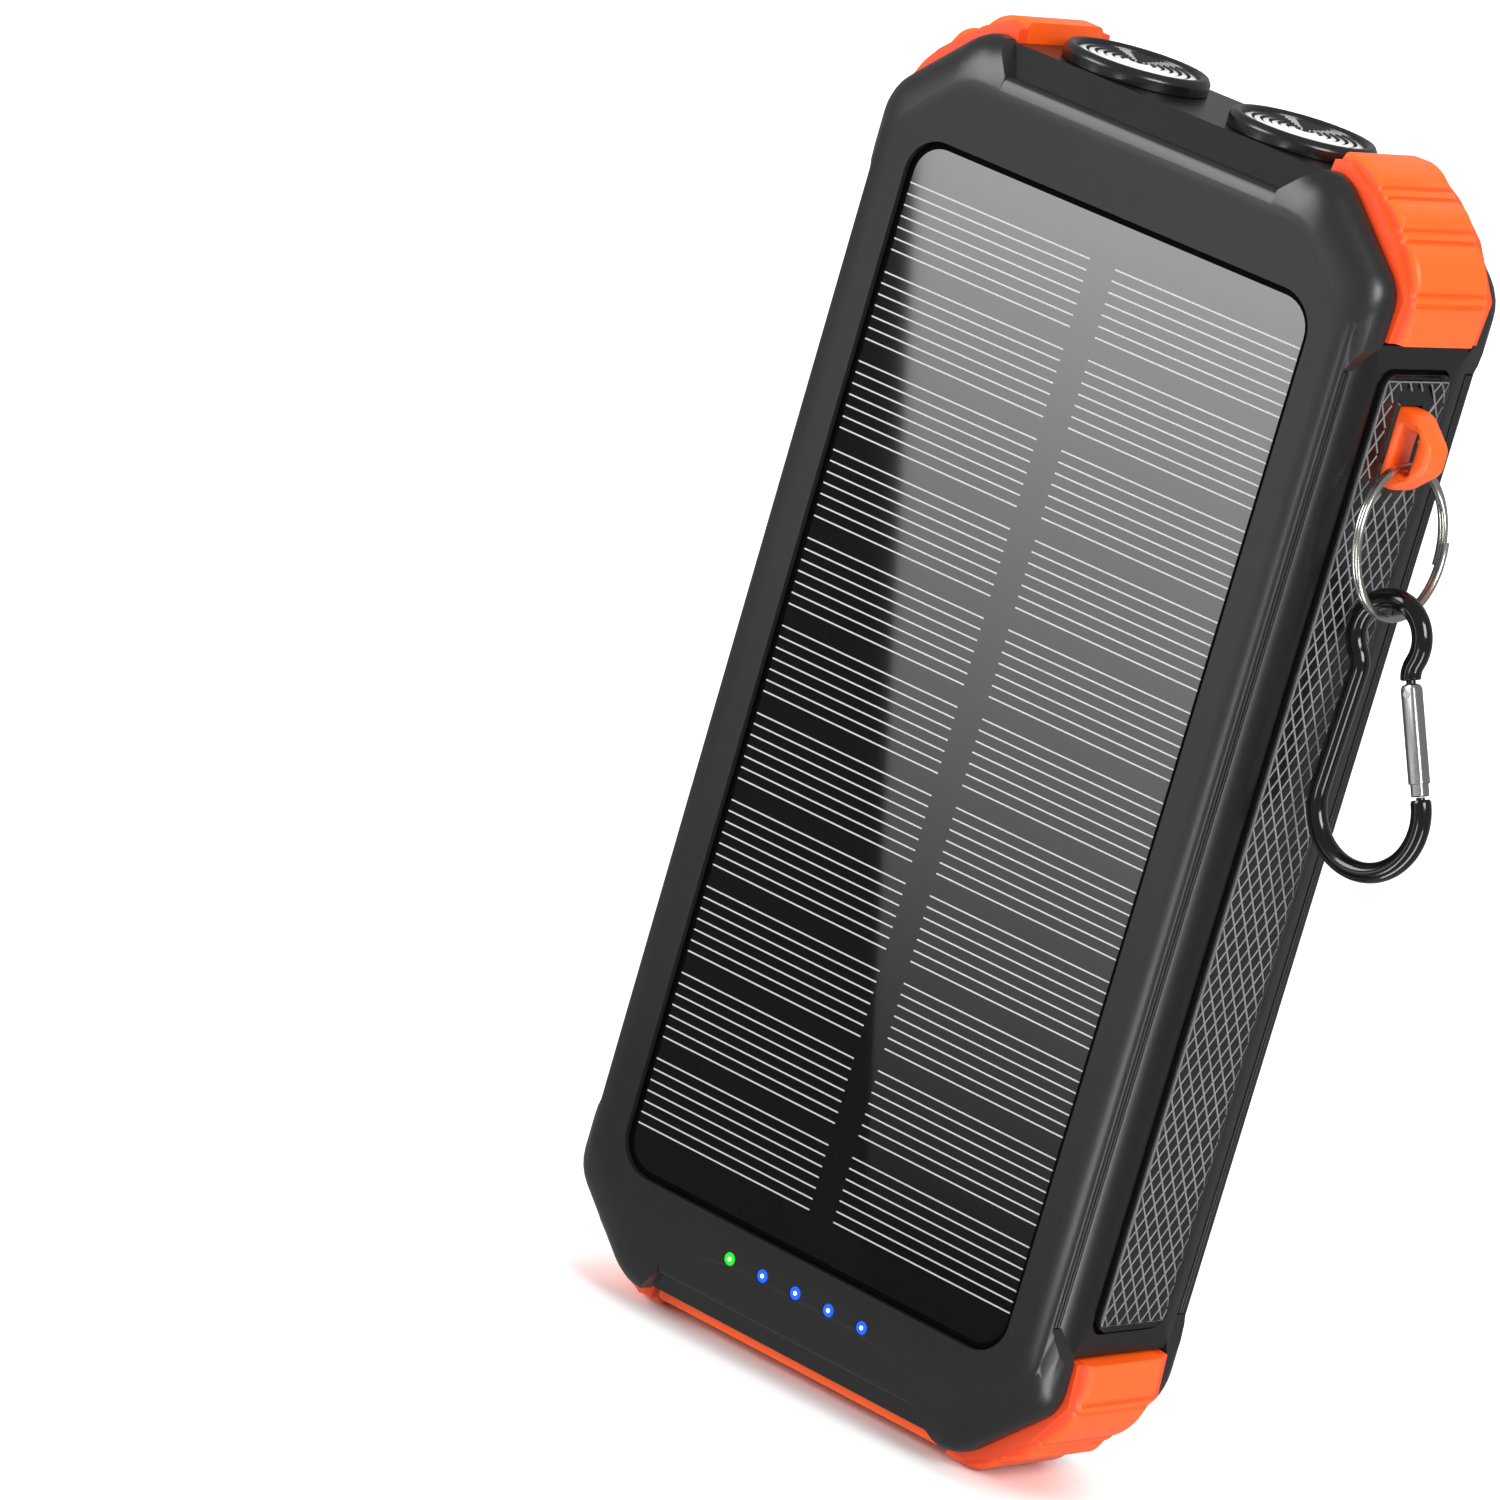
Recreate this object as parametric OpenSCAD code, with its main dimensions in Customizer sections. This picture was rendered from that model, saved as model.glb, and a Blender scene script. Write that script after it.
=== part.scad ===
// Rugged solar phone charger: a flat power bank with a solar panel on its front,
// two torches on its top end, stowed charging leads on its back and rubber corner bumpers.
// It stands upright on its two lower bumpers. X is its width, -Y its solar face, +Z its torch end.

/* [Body] */
// Overall height over the corner bumpers
body_l = 171; // [168:1:205]
// Overall width over the corner bumpers
body_w = 82; // [80:1:98]
// Thickness from the solar face to the back
body_t = 30; // [28:0.5:36]

/* [Casing] */
// How far a bumper stands out beyond the casing's side band
bumper_proud = 2.3; // [1.8:0.1:2.8]
// How far a bumper stands out beyond the casing's end face
foot_proud = 2.7; // [2.3:0.1:3.2]
// Height of the side band, along Y
band_w = 20.6; // [19:0.1:21]
// Width of the rounded shoulder round each face
shoulder = 2.7; // [2.2:0.1:3.2]
// Thickness of a cover's edge where it shows at the side
edge_t = 1.2; // [1:0.1:1.4]
// Thickness of a seal between a cover and the casing
seal_t = 1.2; // [1:0.1:1.4]
// Thickness of the casing's long side walls
wall = 3.0; // [2.6:0.1:3.6]
// Thickness of the covers inside the casing
cover_t = 3.0; // [2.8:0.1:3.4]
// Gap between a casing part and the part that seats in it
seat_gap = 0.1; // [0.05:0.05:0.15]
// Length over which the covers' outline is eased at each corner
corner_soft = 2.6; // [1:0.2:3]

/* [Solar panel] */
// Width of the panel window
window_w = 63.6; // [58:0.2:64.4]
// Height of the panel window
window_l = 137.6; // [132:0.2:139]
// Corner radius of the panel window
window_r = 5; // [3:0.5:7]
// Rows of solar cells
cell_rows = 11; // [8:1:14]
// Bare strip between the two columns of cells
cell_split = 4; // [3:0.5:6]

/* [Torches] */
// Distance between the two torch axes
torch_pitch = 26.2; // [23:0.2:28]
// Outer radius of a torch bezel
torch_r = 9.35; // [8:0.05:9.6]
// Height of a torch bezel above the end face
torch_h = 2.1; // [1.6:0.1:2.2]

/* [Leads] */
// Distance between two neighbouring leads
lead_pitch = 13; // [12:0.5:14]
// Width of a lead
lead_w = 5.2; // [4.6:0.1:5.4]
// Thickness of a lead
lead_t = 1.6; // [1.4:0.1:1.8]
// Room on each side of a lead in its channel
channel_gap = 0.4; // [0.3:0.05:0.6]
// Width of the USB-C plug's moulded head
usb_c_head_w = 10.4; // [9.6:0.1:10.8]
// Width of the eight-pin plug's moulded head
pin8_head_w = 9.1; // [8.6:0.1:10]
// Width of the USB-A plug's moulded head
usb_a_head_w = 13.2; // [12.6:0.1:13.6]

/* [Lanyard] */
// Mean radius of the split ring
ring_r = 9.3; // [8.6:0.1:10]
// Radius of the split ring's wire pair
ring_wire = 0.8; // [0.6:0.05:0.9]
// Overall length of the carabiner
clip_l = 36; // [32:0.5:42]
// Radius of the carabiner's rod
clip_rod = 1.3; // [1:0.05:1.4]

/* [Hidden] */
$fn = 48;
eps = 0.01;

// Colours
casing_black = "#2f3032";
cover_black = "#3b3c3e";
rubber_orange = "#ff6a2b";
grip_black = "#26272a";
board_green = "#1f6b3a";

// Half sizes of the outlines, from the outermost inwards
half_l = body_l / 2;
half_w = body_w / 2;
half_t = body_t / 2;
channel_w = lead_w + 2 * channel_gap;
band_x = half_w - bumper_proud;
band_z = half_l - foot_proud;
band_y = band_w / 2;
flank = 1.2;
end_flank = 3.6;
edge_x = band_x - flank;
edge_z = band_z - end_flank;
edge_y = half_t - edge_t;
seal_y = edge_y - seal_t;
flat_x = edge_x - shoulder;
flat_z = edge_z - shoulder - 0.6;
guard_x = band_x + 0.6;
guard_z = band_z + 0.6;
guard_y = band_y - 0.5;
bumper_y = guard_y - 0.3;
shelf_y = guard_y - 0.1;
pocket_x = band_x - 1.3;
pocket_z = band_z - 0.8;
cover_y = half_t - cover_t;
front_in = half_t - cover_t - 0.8;

// Corner cut of each outline: the guard's cut, and the others set in from it
cut_x = 11.6;
cut_z = 10.8;
core_cut = [9.4, 9.4];

// Where a bumper ends along the side and along the end
bumper_side_z = half_l - 19.7;
bumper_end_x = half_w - 16.5;
guard_side_z = half_l - 23.5;
guard_end_x = half_w - 19.6;
guard_slope = 4.2;

// Hollow of the casing
cav_x = edge_x - wall;
cav_z = half_l - 8.7;
cav_cut = 14.8;

// Screws of the rear cover and of the lead clamp
screw_x = half_w - 14.1;
screw_z = half_l - 11.85;
screw_head_r = 2.05;
screw_recess_r = 2.6;
screw_shank_r = 1.0;
screw_seat = 1.6;
thread_gap = 0.02;
shank_gap = 0.25;

// Leads: half thickness, where the lead leaves the end wall, and where it bends on to the back
lead_h = lead_t / 2;
lead_y = half_t - 1.9;
exit_y = half_t - 4.6;
exit_w = band_z - 0.2;
bend_w = edge_z - 0.8;
lead_gap = 0.35;
root_start = 2.4;
root_end = 6.2;
channel_floor = lead_y - lead_h - 0.3;
head_top = half_t - 0.2;
head_floor = half_t - 6.4;
pocket_gap = 0.25;

// Plug places measured up from the lower end of the body
usb_c_z = 75.4;
usb_a_z = 100.8;
pin8_z = 76.3;
head_l = 13;
usb_a_head_l = 5.6;
usb_c_shell_l = 6.7;
pin8_tab_l = 6.8;
usb_a_tongue_l = 11.8;
pocket_run = 6.2;

// Clamp over the leads
clamp_x = lead_pitch + 8.6;
clamp_low = 67.6;
pad_inner = [channel_w / 2, lead_pitch - channel_w / 2];
pad_outer = [lead_pitch + channel_w / 2, clamp_x];
pad_edges = [-[pad_outer[1], pad_outer[0]], -[pad_inner[1], pad_inner[0]], pad_inner, pad_outer];
clamp_screw_x = [for (p = pad_edges) (p[0] + p[1]) / 2];
clamp_base_y = half_t - 4.3;

// Ports and port cover
port_x = 14.5;
port_w = 13.6;
port_h = 6.2;
port_y = 3.9;
port_d = 14;
port_face = 0.7;
cover_strip_t = 1.2;
cover_x = bumper_end_x - 0.3;
cover_y_half = 9.2;
cover_hinge_x = -cover_x + 0.8;
hinge_r = 0.6;

// Grip panels and power button
grip_y = 7.2;
grip_z = 62.3;
grip_deep = 1.2;
grip_proud = 0.7;
grip_r = 2;
button_z = half_l - 54.5;
button_w = 8.5;
button_l = 8.4;
button_proud = 0.8;
button_travel = 0.6;
button_gap = 0.2;
button_r = 1.6;

// Status lights
led_pitch = 5.5;
led_z = half_l - 73;
led_r = 0.9;

// Lanyard: the loop, the wire's resting place on it and the carabiner's shape
loop_z = half_l + 53.2;
loop_half = 5;
loop_out = band_x + 6.4;
loop_leg = 2.3;
loop_t = 4.4;
loop_bar = 2.3;
hang_x = band_x + 2.7;
hang_z = loop_z - loop_half + loop_leg + ring_wire + 0.3;
clip_hold = 2 * ring_r - ring_wire - clip_rod - 0.3;
clip_top_r = 4.8;
clip_low_r = 7.6;
neck_r = 3;
neck_turn = 30;
clip_d = clip_l - 2 * clip_rod - clip_top_r - clip_low_r;
lean_reach = clip_hold + clip_top_r + clip_d;
rest_gap = 0.3;
rest_x = band_x + grip_proud + rest_gap + clip_rod - hang_x;
lanyard_lean = asin(max((rest_x + clip_low_r) / lean_reach, (rest_x + clip_top_r) / (clip_hold + clip_top_r)));

// ---------------------------------------------------------------- helpers

// Extrudes an outline drawn in X and height above the centre through a span of Y
module slab(y0, y1)
  translate([0, y1, half_l])
    rotate([90, 0, 0])
      linear_extrude(y1 - y0)
        children();

// Extrudes an outline drawn in Y and height above the centre through a span of X
module across(x0, x1)
  translate([x0, 0, half_l])
    rotate([90, 0, 90])
      linear_extrude(x1 - x0)
        children();

// Round bar along Y between two values of Y, at a place given from the centre
module bar_y(r, x, z, y0, y1, fn = 48)
  translate([x, y1, half_l + z])
    rotate([90, 0, 0])
      cylinder(r = r, h = y1 - y0, $fn = fn);

// Eight-sided outline: half width, half height and the two lengths cut from each corner
module octagon(hw, hz, cx, cz)
  polygon([
    [hw, cz - hz], [hw, hz - cz], [hw - cx, hz], [cx - hw, hz],
    [-hw, hz - cz], [-hw, cz - hz], [cx - hw, -hz], [hw - cx, -hz]
  ]);

// The same octagon with its corners eased over a length either side
module soft_octagon(hw, hz, cx, cz) {
  p = [
    [hw, cz - hz], [hw, hz - cz], [hw - cx, hz], [cx - hw, hz],
    [-hw, hz - cz], [-hw, cz - hz], [cx - hw, -hz], [hw - cx, -hz]
  ];
  polygon([
    for (i = [0:7])
      let (b = p[i], a = p[(i + 7) % 8] - b, c = p[(i + 1) % 8] - b)
        for (t = [0:0.25:1])
          b + corner_soft * ((1 - t) * (1 - t) * a / norm(a) + t * t * c / norm(c))
  ]);
}

// Rounded rectangle about the origin, with true arcs
module round_rect(w, l, r) {
  square([w - 2 * r, l], center = true);
  square([w, l - 2 * r], center = true);
  for (sx = [-1, 1], sz = [-1, 1])
    translate([sx * (w / 2 - r), sz * (l / 2 - r)])
      circle(r);
}

// Repeats its child in the four corners, mirrored
module corners()
  for (sx = [0, 1], sz = [0, 1])
    mirror([sx, 0, 0])
      mirror([0, sz, 0])
        children();

// Mirrors a solid front to back
module to_front()
  mirror([0, 1, 0])
    children();

// ---------------------------------------------------------------- outlines

module edge_outline() soft_octagon(edge_x, edge_z, cut_x - 0.9, cut_z - 0.9);
module seal_outline() octagon(edge_x - 0.2, edge_z - 0.2, cut_x - 0.5, cut_z - 0.5);
module core_outline() octagon(edge_x - 0.5, edge_z - 0.5, cut_x, cut_z);
module cavity_outline() octagon(cav_x, cav_z, cav_cut, cav_cut);
module lid_outline() octagon(cav_x - seat_gap, cav_z - seat_gap, cav_cut, cav_cut);

// Outline of the guards that the covers carry past the four corners
module guard_outline()
  corners()
    polygon([
      [edge_x, guard_side_z],
      [guard_x - 0.1, guard_side_z + guard_slope],
      [guard_x, guard_z - cut_z],
      [guard_x - cut_x, guard_z],
      [guard_end_x + guard_slope * 0.85, guard_z - 0.3],
      [guard_end_x, edge_z],
      [guard_end_x, edge_z - 6],
      [edge_x - 6, guard_side_z]
    ]);

// ---------------------------------------------------------------- casing

// Section of the side band: the flat band and its two flanks
function band_section(x_in) = [
  [x_in, -seal_y], [edge_x - 0.2, -seal_y], [band_x, -band_y],
  [band_x, band_y], [edge_x - 0.2, seal_y], [x_in, seal_y]
];

// Section of the end wall, in Y and height
function end_section(w_in) = [
  [-seal_y, w_in], [seal_y, w_in], [seal_y, edge_z - 0.2],
  [band_y - 0.3, band_z], [0.3 - band_y, band_z], [-seal_y, edge_z - 0.2]
];

// Path of a lead at the end: out of the slot, up the flank and on to the back
lead_a = [exit_y, exit_w];
lead_b = [lead_y, bend_w];
lead_dir = (lead_b - lead_a) / norm(lead_b - lead_a);
lead_nrm = [-lead_dir[1], lead_dir[0]];
function mitre(h) = lead_b + h * (lead_nrm + [1, 0]) / (1 + lead_nrm[0]);

// Strip of a lead from its bend to a height, with half thickness h
function lead_strip(h, w_end) = [
  lead_a + h * lead_nrm, mitre(h), [lead_y + h, w_end],
  [lead_y - h, w_end], mitre(-h), lead_a - h * lead_nrm
];

// Space that a lead needs in the end flank, open outwards
function groove_section(h) = [
  lead_a - [0, 0.2] - h * lead_nrm, mitre(-h), [lead_y - h, 60], [half_t + 1, 60],
  [half_t + 1, half_l], [exit_y - 1, half_l], [exit_y - 1, exit_w]
];

// Slanting slot through which a lead goes inside
root_dir = [-0.34, -0.94];
function root_section(h, from, to) =
  let (n = [root_dir[1], -root_dir[0]], a = lead_a + from * root_dir, b = lead_a + to * root_dir)
    [a + h * n, b + h * n, b - h * n, a - h * n];

module at_leads()
  for (x = [-lead_pitch, 0, lead_pitch])
    translate([x, 0, 0])
      children();

// Points of the port end: the body's lower end is the flipped upper section
module at_port_end()
  translate([0, 0, body_l])
    mirror([0, 0, 1])
      children();

module casing_ring() {
  slab(-shelf_y, shelf_y) octagon(pocket_x, pocket_z, core_cut[0], core_cut[1]);
  slab(-seal_y, seal_y) core_outline();
  for (sx = [0, 1])
    mirror([sx, 0, 0])
      translate([0, 0, half_l - bumper_side_z + seat_gap])
        linear_extrude(2 * (bumper_side_z - seat_gap))
          polygon(band_section(edge_x - 4));
  for (sz = [0, 1])
    translate([0, 0, sz * body_l])
      mirror([0, 0, sz])
        translate([0, 0, body_l])
          mirror([0, 0, 1])
            across(-bumper_end_x + seat_gap, bumper_end_x - seat_gap)
              polygon(end_section(edge_z - 4));
}

module casing_guard_cut()
  for (sy = [0, 1])
    mirror([0, sy, 0])
      difference() {
        slab(shelf_y, half_t) guard_outline();
        slab(shelf_y - 1, seal_y) core_outline();
      }

module screw_bores()
  for (sx = [-1, 1], sz = [-1, 1])
    bar_y(screw_shank_r + thread_gap, sx * screw_x, sz * screw_z, seal_y - 9, seal_y + 1);

module torch_bores(r, w0, w1)
  for (sx = [-1, 1])
    translate([sx * torch_pitch / 2, 0, half_l + w0])
      cylinder(r = r, h = w1 - w0);

module port_cutouts()
  at_port_end() {
    for (sx = [-1, 1])
      translate([sx * port_x - port_w / 2 - 0.2, port_y - port_h / 2 - 0.2, body_l - 14])
        cube([port_w + 0.4, port_h + 0.4, 14]);
    translate([-4.7, port_y - port_h / 2 - 0.2, body_l - 14])
      cube([9.4, 3.6, 14]);
  }

module lead_grooves()
  at_port_end() {
    at_leads() across(-channel_w / 2, channel_w / 2) polygon(groove_section(lead_h + lead_gap));
    at_leads() across(-lead_w / 2 - 0.15, lead_w / 2 + 0.15) polygon(root_section(lead_h + 0.1, -1, 14));
  }

module grip_recess()
  translate([band_x - grip_deep, 0, half_l])
    rotate([90, 0, 90])
      linear_extrude(grip_deep + 1)
        round_rect(2 * grip_y + 1, 2 * grip_z + 1, grip_r + 0.3);

module button_shaft(extra)
  translate([-band_x - 2, 0, button_z])
    rotate([90, 0, 90]) {
      linear_extrude(4.8)
        round_rect(button_w + 2 * extra, button_l + 2 * extra, button_r);
      linear_extrude(12)
        square(5 + 2 * extra, center = true);
    }

// Foot of the lanyard loop: a plate set in the casing wall
module loop_foot(gap)
  translate([band_x - grip_deep - 1.4 - gap, -loop_t / 2 - gap, loop_z - loop_half - gap])
    cube([2.6 + gap, loop_t + 2 * gap, 2 * (loop_half + gap)]);

module casing()
  color(casing_black)
    difference() {
      casing_ring();
      slab(-half_t, half_t) cavity_outline();
      casing_guard_cut();
      screw_bores();
      torch_bores(7.4, 70, half_l);
      port_cutouts();
      lead_grooves();
      grip_recess();
      mirror([1, 0, 0]) grip_recess();
      button_shaft(button_gap);
      loop_foot(0);
    }

// ---------------------------------------------------------------- covers and seals

// Dome from one outline up to the flat face, its shoulder a quarter of an ellipse in 15 degree steps
module dome(outline, y0)
  hull()
    for (a = [0:15:90])
      let (y = y0 + (half_t - y0) * cos(a), s = sin(a))
        slab(y - 0.05, y)
          soft_octagon(
            flat_x + (outline[0] - flat_x) * s, flat_z + (outline[1] - flat_z) * s,
            face_cut[0] + (outline[2] - face_cut[0]) * s, face_cut[1] + (outline[3] - face_cut[1]) * s
          );

face_cut = [cut_x - 3.8, cut_z - 2.4];

// Cover plate with its rounded edge
module plate_envelope() {
  dome([edge_x, edge_z, cut_x - 0.9, cut_z - 0.9], edge_y + 0.25);
  slab(edge_y, edge_y + 0.25) edge_outline();
}

// Rounded shoulder over the corner guards
module guard_envelope() {
  dome([guard_x, guard_z, cut_x, cut_z], guard_y + 1);
  slab(guard_y, guard_y + 1) soft_octagon(guard_x, guard_z, cut_x, cut_z);
}

// Corner areas, where a cover sits on the casing with no seal between
module corner_area(gap)
  corners()
    translate([guard_end_x - gap, guard_side_z - gap])
      square(40);

// Shared blank of the two covers: plate, lid inside the casing and the four guards
module cover_blank(inner_y) {
  plate_envelope();
  slab(inner_y, edge_y + eps) lid_outline();
  slab(seal_y, edge_y + eps)
    intersection() {
      core_outline();
      corner_area(0);
    }
  difference() {
    intersection() {
      guard_envelope();
      slab(guard_y, half_t) guard_outline();
    }
    slab(guard_y - 1, seal_y) core_seat();
  }
}

// What the guards wrap: the casing's core with a seating gap
module core_seat() octagon(edge_x - 0.5 + seat_gap, edge_z - 0.5 + seat_gap, cut_x, cut_z);

module front_frame()
  color(cover_black)
    difference() {
      to_front() cover_blank(front_in);
      slab(-half_t - 1, -half_t + 2.8) round_rect(window_w, window_l, window_r);
      slab(-half_t, 0) round_rect(window_w - 4.5, window_l - 4.5, window_r - 1.5);
      for (i = [-2:2])
        bar_y(led_r + 0.02, i * led_pitch, led_z - half_l, -half_t - 1, 0, 32);
    }

// Block behind the rear cover that the lead channels and the plug pockets are sunk into
block_t = cover_y - head_floor + 1.2;
block_x = lead_pitch + usb_c_head_w / 2 + 1.3;
block_low = half_l - cav_z + 0.3;
block_high = max(usb_c_z, pin8_z) + head_l + 15.5;
tower_x = usb_a_head_w / 2 + 2;
tower_high = usb_a_z + usb_a_head_l + usb_a_tongue_l + 10.3;

module lead_block() {
  translate([-block_x, cover_y - block_t, block_low])
    cube([2 * block_x, block_t + eps, block_high - block_low]);
  translate([-tower_x, cover_y - block_t, block_low])
    cube([2 * tower_x, block_t + eps, tower_high - block_low]);
}

// Pocket for one plug: the head's seat, the plug's run and a scooped finger notch
module plug_pocket(x, z, w, l, run, floor_y) {
  translate([x - w / 2 - pocket_gap, floor_y, z - pocket_gap])
    cube([w + 2 * pocket_gap, half_t, l + pocket_gap + run]);
  translate([x, half_t, z + l + run])
    rotate([90, 0, 0])
      cylinder(r = w / 2 + pocket_gap, h = half_t - floor_y);
}

module plug_pockets() {
  plug_pocket(-lead_pitch, usb_c_z, usb_c_head_w, head_l, usb_c_shell_l + 0.6, head_floor);
  plug_pocket(lead_pitch, pin8_z, pin8_head_w, head_l + 0.2, pin8_tab_l + 0.6, head_floor + 0.9);
  plug_pocket(0, usb_a_z, usb_a_head_w, usb_a_head_l, usb_a_tongue_l + 0.6, head_floor + 1.6);
}

module lead_channels()
  for (lead = [[-lead_pitch, usb_c_z], [0, usb_a_z], [lead_pitch, pin8_z]])
    translate([lead[0] - channel_w / 2, channel_floor, -1])
      cube([channel_w, half_t, lead[1] + 2]);

module clamp_seat(gap) {
  translate([-clamp_x - gap, clamp_base_y - gap, half_l - cav_z])
    cube([2 * (clamp_x + gap), half_t, cav_z - clamp_low + gap]);
  translate([-clamp_x - gap, edge_y, -1])
    cube([2 * (clamp_x + gap), half_t, half_l - cav_z + 2]);
}

module clamp_bores(r, y0, y1)
  for (x = clamp_screw_x)
    bar_y(r, x, -clamp_low - 5.1, y0, y1);

module screw_holes()
  for (sx = [-1, 1], sz = [-1, 1]) {
    bar_y(screw_shank_r + shank_gap, sx * screw_x, sz * screw_z, 0, half_t + 1);
    bar_y(screw_recess_r, sx * screw_x, sz * screw_z, half_t - screw_seat, half_t + 1);
  }

module rear_cover()
  color(cover_black)
    difference() {
      union() {
        cover_blank(cover_y);
        lead_block();
      }
      lead_channels();
      plug_pockets();
      clamp_seat(seat_gap);
      clamp_bores(screw_shank_r + thread_gap, head_floor, half_t);
      screw_holes();
    }

// Seal strips along the two sides and the two ends, between the corners
module seal_strips()
  slab(seal_y, edge_y)
    difference() {
      seal_outline();
      cavity_outline();
      corner_area(seat_gap);
    }

module rear_seal()
  color("#232426")
    difference() {
      seal_strips();
      lead_grooves();
    }

module front_seal()
  color("#232426")
    to_front() seal_strips();

// ---------------------------------------------------------------- bumpers and port cover

// Points of an outward bulge between two points, ends included
function petal(a, b, bulge, n = 6) =
  let (d = b - a, u = [d[1], -d[0]] / norm(d))
    [for (i = [0:n]) let (t = i / n) a + t * d + 4 * bulge * t * (1 - t) * u];

function inset(p, d) = p - d * [0.74, 0.67];

// Outer edge of a bumper, from its side end round the corner to its end-face end
bumper_knots = [
  [half_w - 0.05, half_l - 13.4], [half_w - 4.4, half_l - 6.6],
  [half_w - 9.0, half_l - 2.7], [half_w - 13.8, half_l]
];
rib = 1.1;
rib_deep = 0.5;

// Shortens the span between two knots at both ends, leaving room for the ribs
function span_in(a, b) =
  let (u = (b - a) / norm(b - a))
    [a + rib * u, b - rib * u];

bumper_edge = concat(
  [[half_w - 1.2, bumper_side_z], [half_w - 0.3, bumper_side_z + 0.8], [half_w - 0.4, bumper_side_z + 1.9]],
  petal([half_w - 0.2, bumper_side_z + 2.4], bumper_knots[0] + [0, -1], 0.1, 4),
  [inset(bumper_knots[0], rib_deep)],
  [for (i = [0:2])
    let (s = span_in(bumper_knots[i], bumper_knots[i + 1]))
      each concat(
        petal(s[0], s[1], 0.5),
        i < 2 ? [inset(bumper_knots[i + 1], rib_deep)] : []
      )],
  [bumper_knots[3], [bumper_end_x + 0.9, half_l], [bumper_end_x, half_l - 1.4]]
);

bumper_inner = [
  [bumper_end_x, pocket_z + seat_gap],
  [pocket_x - core_cut[0] + seat_gap / 2, pocket_z + seat_gap],
  [pocket_x + seat_gap, pocket_z - core_cut[1] + seat_gap / 2],
  [pocket_x + seat_gap, bumper_side_z]
];

module bumper(sx, sz)
  color(rubber_orange)
    slab(-bumper_y, bumper_y)
      mirror([sx, 0, 0])
        mirror([0, sz, 0])
          polygon(concat(bumper_edge, bumper_inner));

module bumper_top_right() bumper(0, 0);
module bumper_top_left() bumper(1, 0);
module bumper_bottom_right() bumper(0, 1);
module bumper_bottom_left() bumper(1, 1);

// Flap over the ports: a strip, a rounded hinge end and a finger tab
strip_top = foot_proud - 0.1;
strip_low = strip_top - cover_strip_t;
tab_x = [-6.8, 4.6];
tab_low = 0.35;

module port_cover()
  color(rubber_orange) {
    translate([cover_hinge_x, -cover_y_half, strip_low])
      cube([cover_x - cover_hinge_x, 2 * cover_y_half, cover_strip_t]);
    translate([cover_hinge_x, cover_y_half, strip_low + hinge_r])
      rotate([90, 0, 0])
        cylinder(r = hinge_r, h = 2 * cover_y_half);
    translate([0, 1.6, 0])
      rotate([90, 0, 0])
        linear_extrude(7.2)
          polygon([
            [tab_x[0] - 0.8, strip_low + eps], [tab_x[0], tab_low + 0.35], [tab_x[0] + 0.9, tab_low],
            [tab_x[1], tab_low], [tab_x[1] - 0.1, tab_low + 0.5], [tab_x[1] - 1.4, tab_low + 0.6],
            [tab_x[1] - 1.7, strip_low + eps]
          ]);
  }

// ---------------------------------------------------------------- grips and button

module grip_pad(sx)
  mirror([sx, 0, 0])
    translate([band_x - grip_deep, 0, half_l])
      rotate([90, 0, 90])
        linear_extrude(grip_deep + grip_proud)
          round_rect(2 * grip_y, 2 * grip_z, grip_r);

module grip_right()
  color(grip_black)
    difference() {
      grip_pad(0);
      loop_foot(seat_gap);
      translate([band_x - 2, -loop_t / 2 - 0.2, loop_z - loop_half - 0.2])
        cube([6, loop_t + 0.4, 2 * loop_half + 0.4]);
    }

module grip_left()
  color(grip_black)
    difference() {
      grip_pad(1);
      button_shaft(button_gap);
    }

button_face = band_x + grip_proud + button_proud;
button_back = band_x - 2.8 + button_travel + 0.1;

module power_button()
  color(rubber_orange) {
    translate([-button_face, 0, button_z])
      rotate([90, 0, 90])
        linear_extrude(button_face - button_back)
          round_rect(button_w, button_l, button_r - button_gap);
    translate([-button_back - eps, -2.4, button_z - 2.4])
      cube([button_back - cav_x + 0.1, 4.8, 4.8]);
  }

module button_switch() {
  color("#c9ccd0")
    translate([-cav_x + button_travel + 0.3, -3, button_z - 3])
      cube([3, 6, 6]);
  color(board_green)
    translate([-cav_x + button_travel + 3.3, -5, button_z - 6])
      cube([1, 10, 12]);
}

// ---------------------------------------------------------------- solar panel and lights

glass_y = half_t - 0.8;
cell_y = glass_y - 1.2;
back_y = cell_y - 0.3;

module solar_glass()
  color([0.3, 0.32, 0.35, 0.45])
    slab(-glass_y, -cell_y)
      round_rect(window_w - 0.3, window_l - 0.3, window_r - 0.15);

cell_area_l = window_l - 9.6;
cell_step = cell_area_l / cell_rows;
cell_col_w = (window_w - 0.6 - cell_split) / 2;

module solar_cells()
  color("#1b1e26")
    slab(-cell_y, -back_y)
      for (sx = [-1, 1], row = [0:cell_rows - 1])
        translate([sx * (cell_split + cell_col_w) / 2, (row - (cell_rows - 1) / 2) * cell_step])
          square([cell_col_w - 3 * (row == 0 || row == cell_rows - 1 ? 1 : 0), cell_step - 1.6], center = true);

module solar_backing()
  color("#101114")
    slab(-back_y, -half_t + 2.8)
      round_rect(window_w - 3, window_l - 3, window_r + 2);

module led_pipe(i)
  bar_y(led_r, i * led_pitch, led_z - half_l, -half_t, -front_in + 0.2, 32);

module led_pipe_green() color("#38e04a") led_pipe(-2);
module led_pipes_blue() color("#3f8cff") for (i = [-1:2]) led_pipe(i);

module led_board()
  color(board_green) {
    translate([-16, -front_in + 1.1, led_z - 2.6]) cube([32, 1, 5.6]);
    for (i = [-2:2])
      translate([i * led_pitch - 0.8, -front_in + 0.3, led_z - 0.8]) cube([1.6, 0.8 + eps, 1.6]);
  }

// ---------------------------------------------------------------- torches

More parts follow.
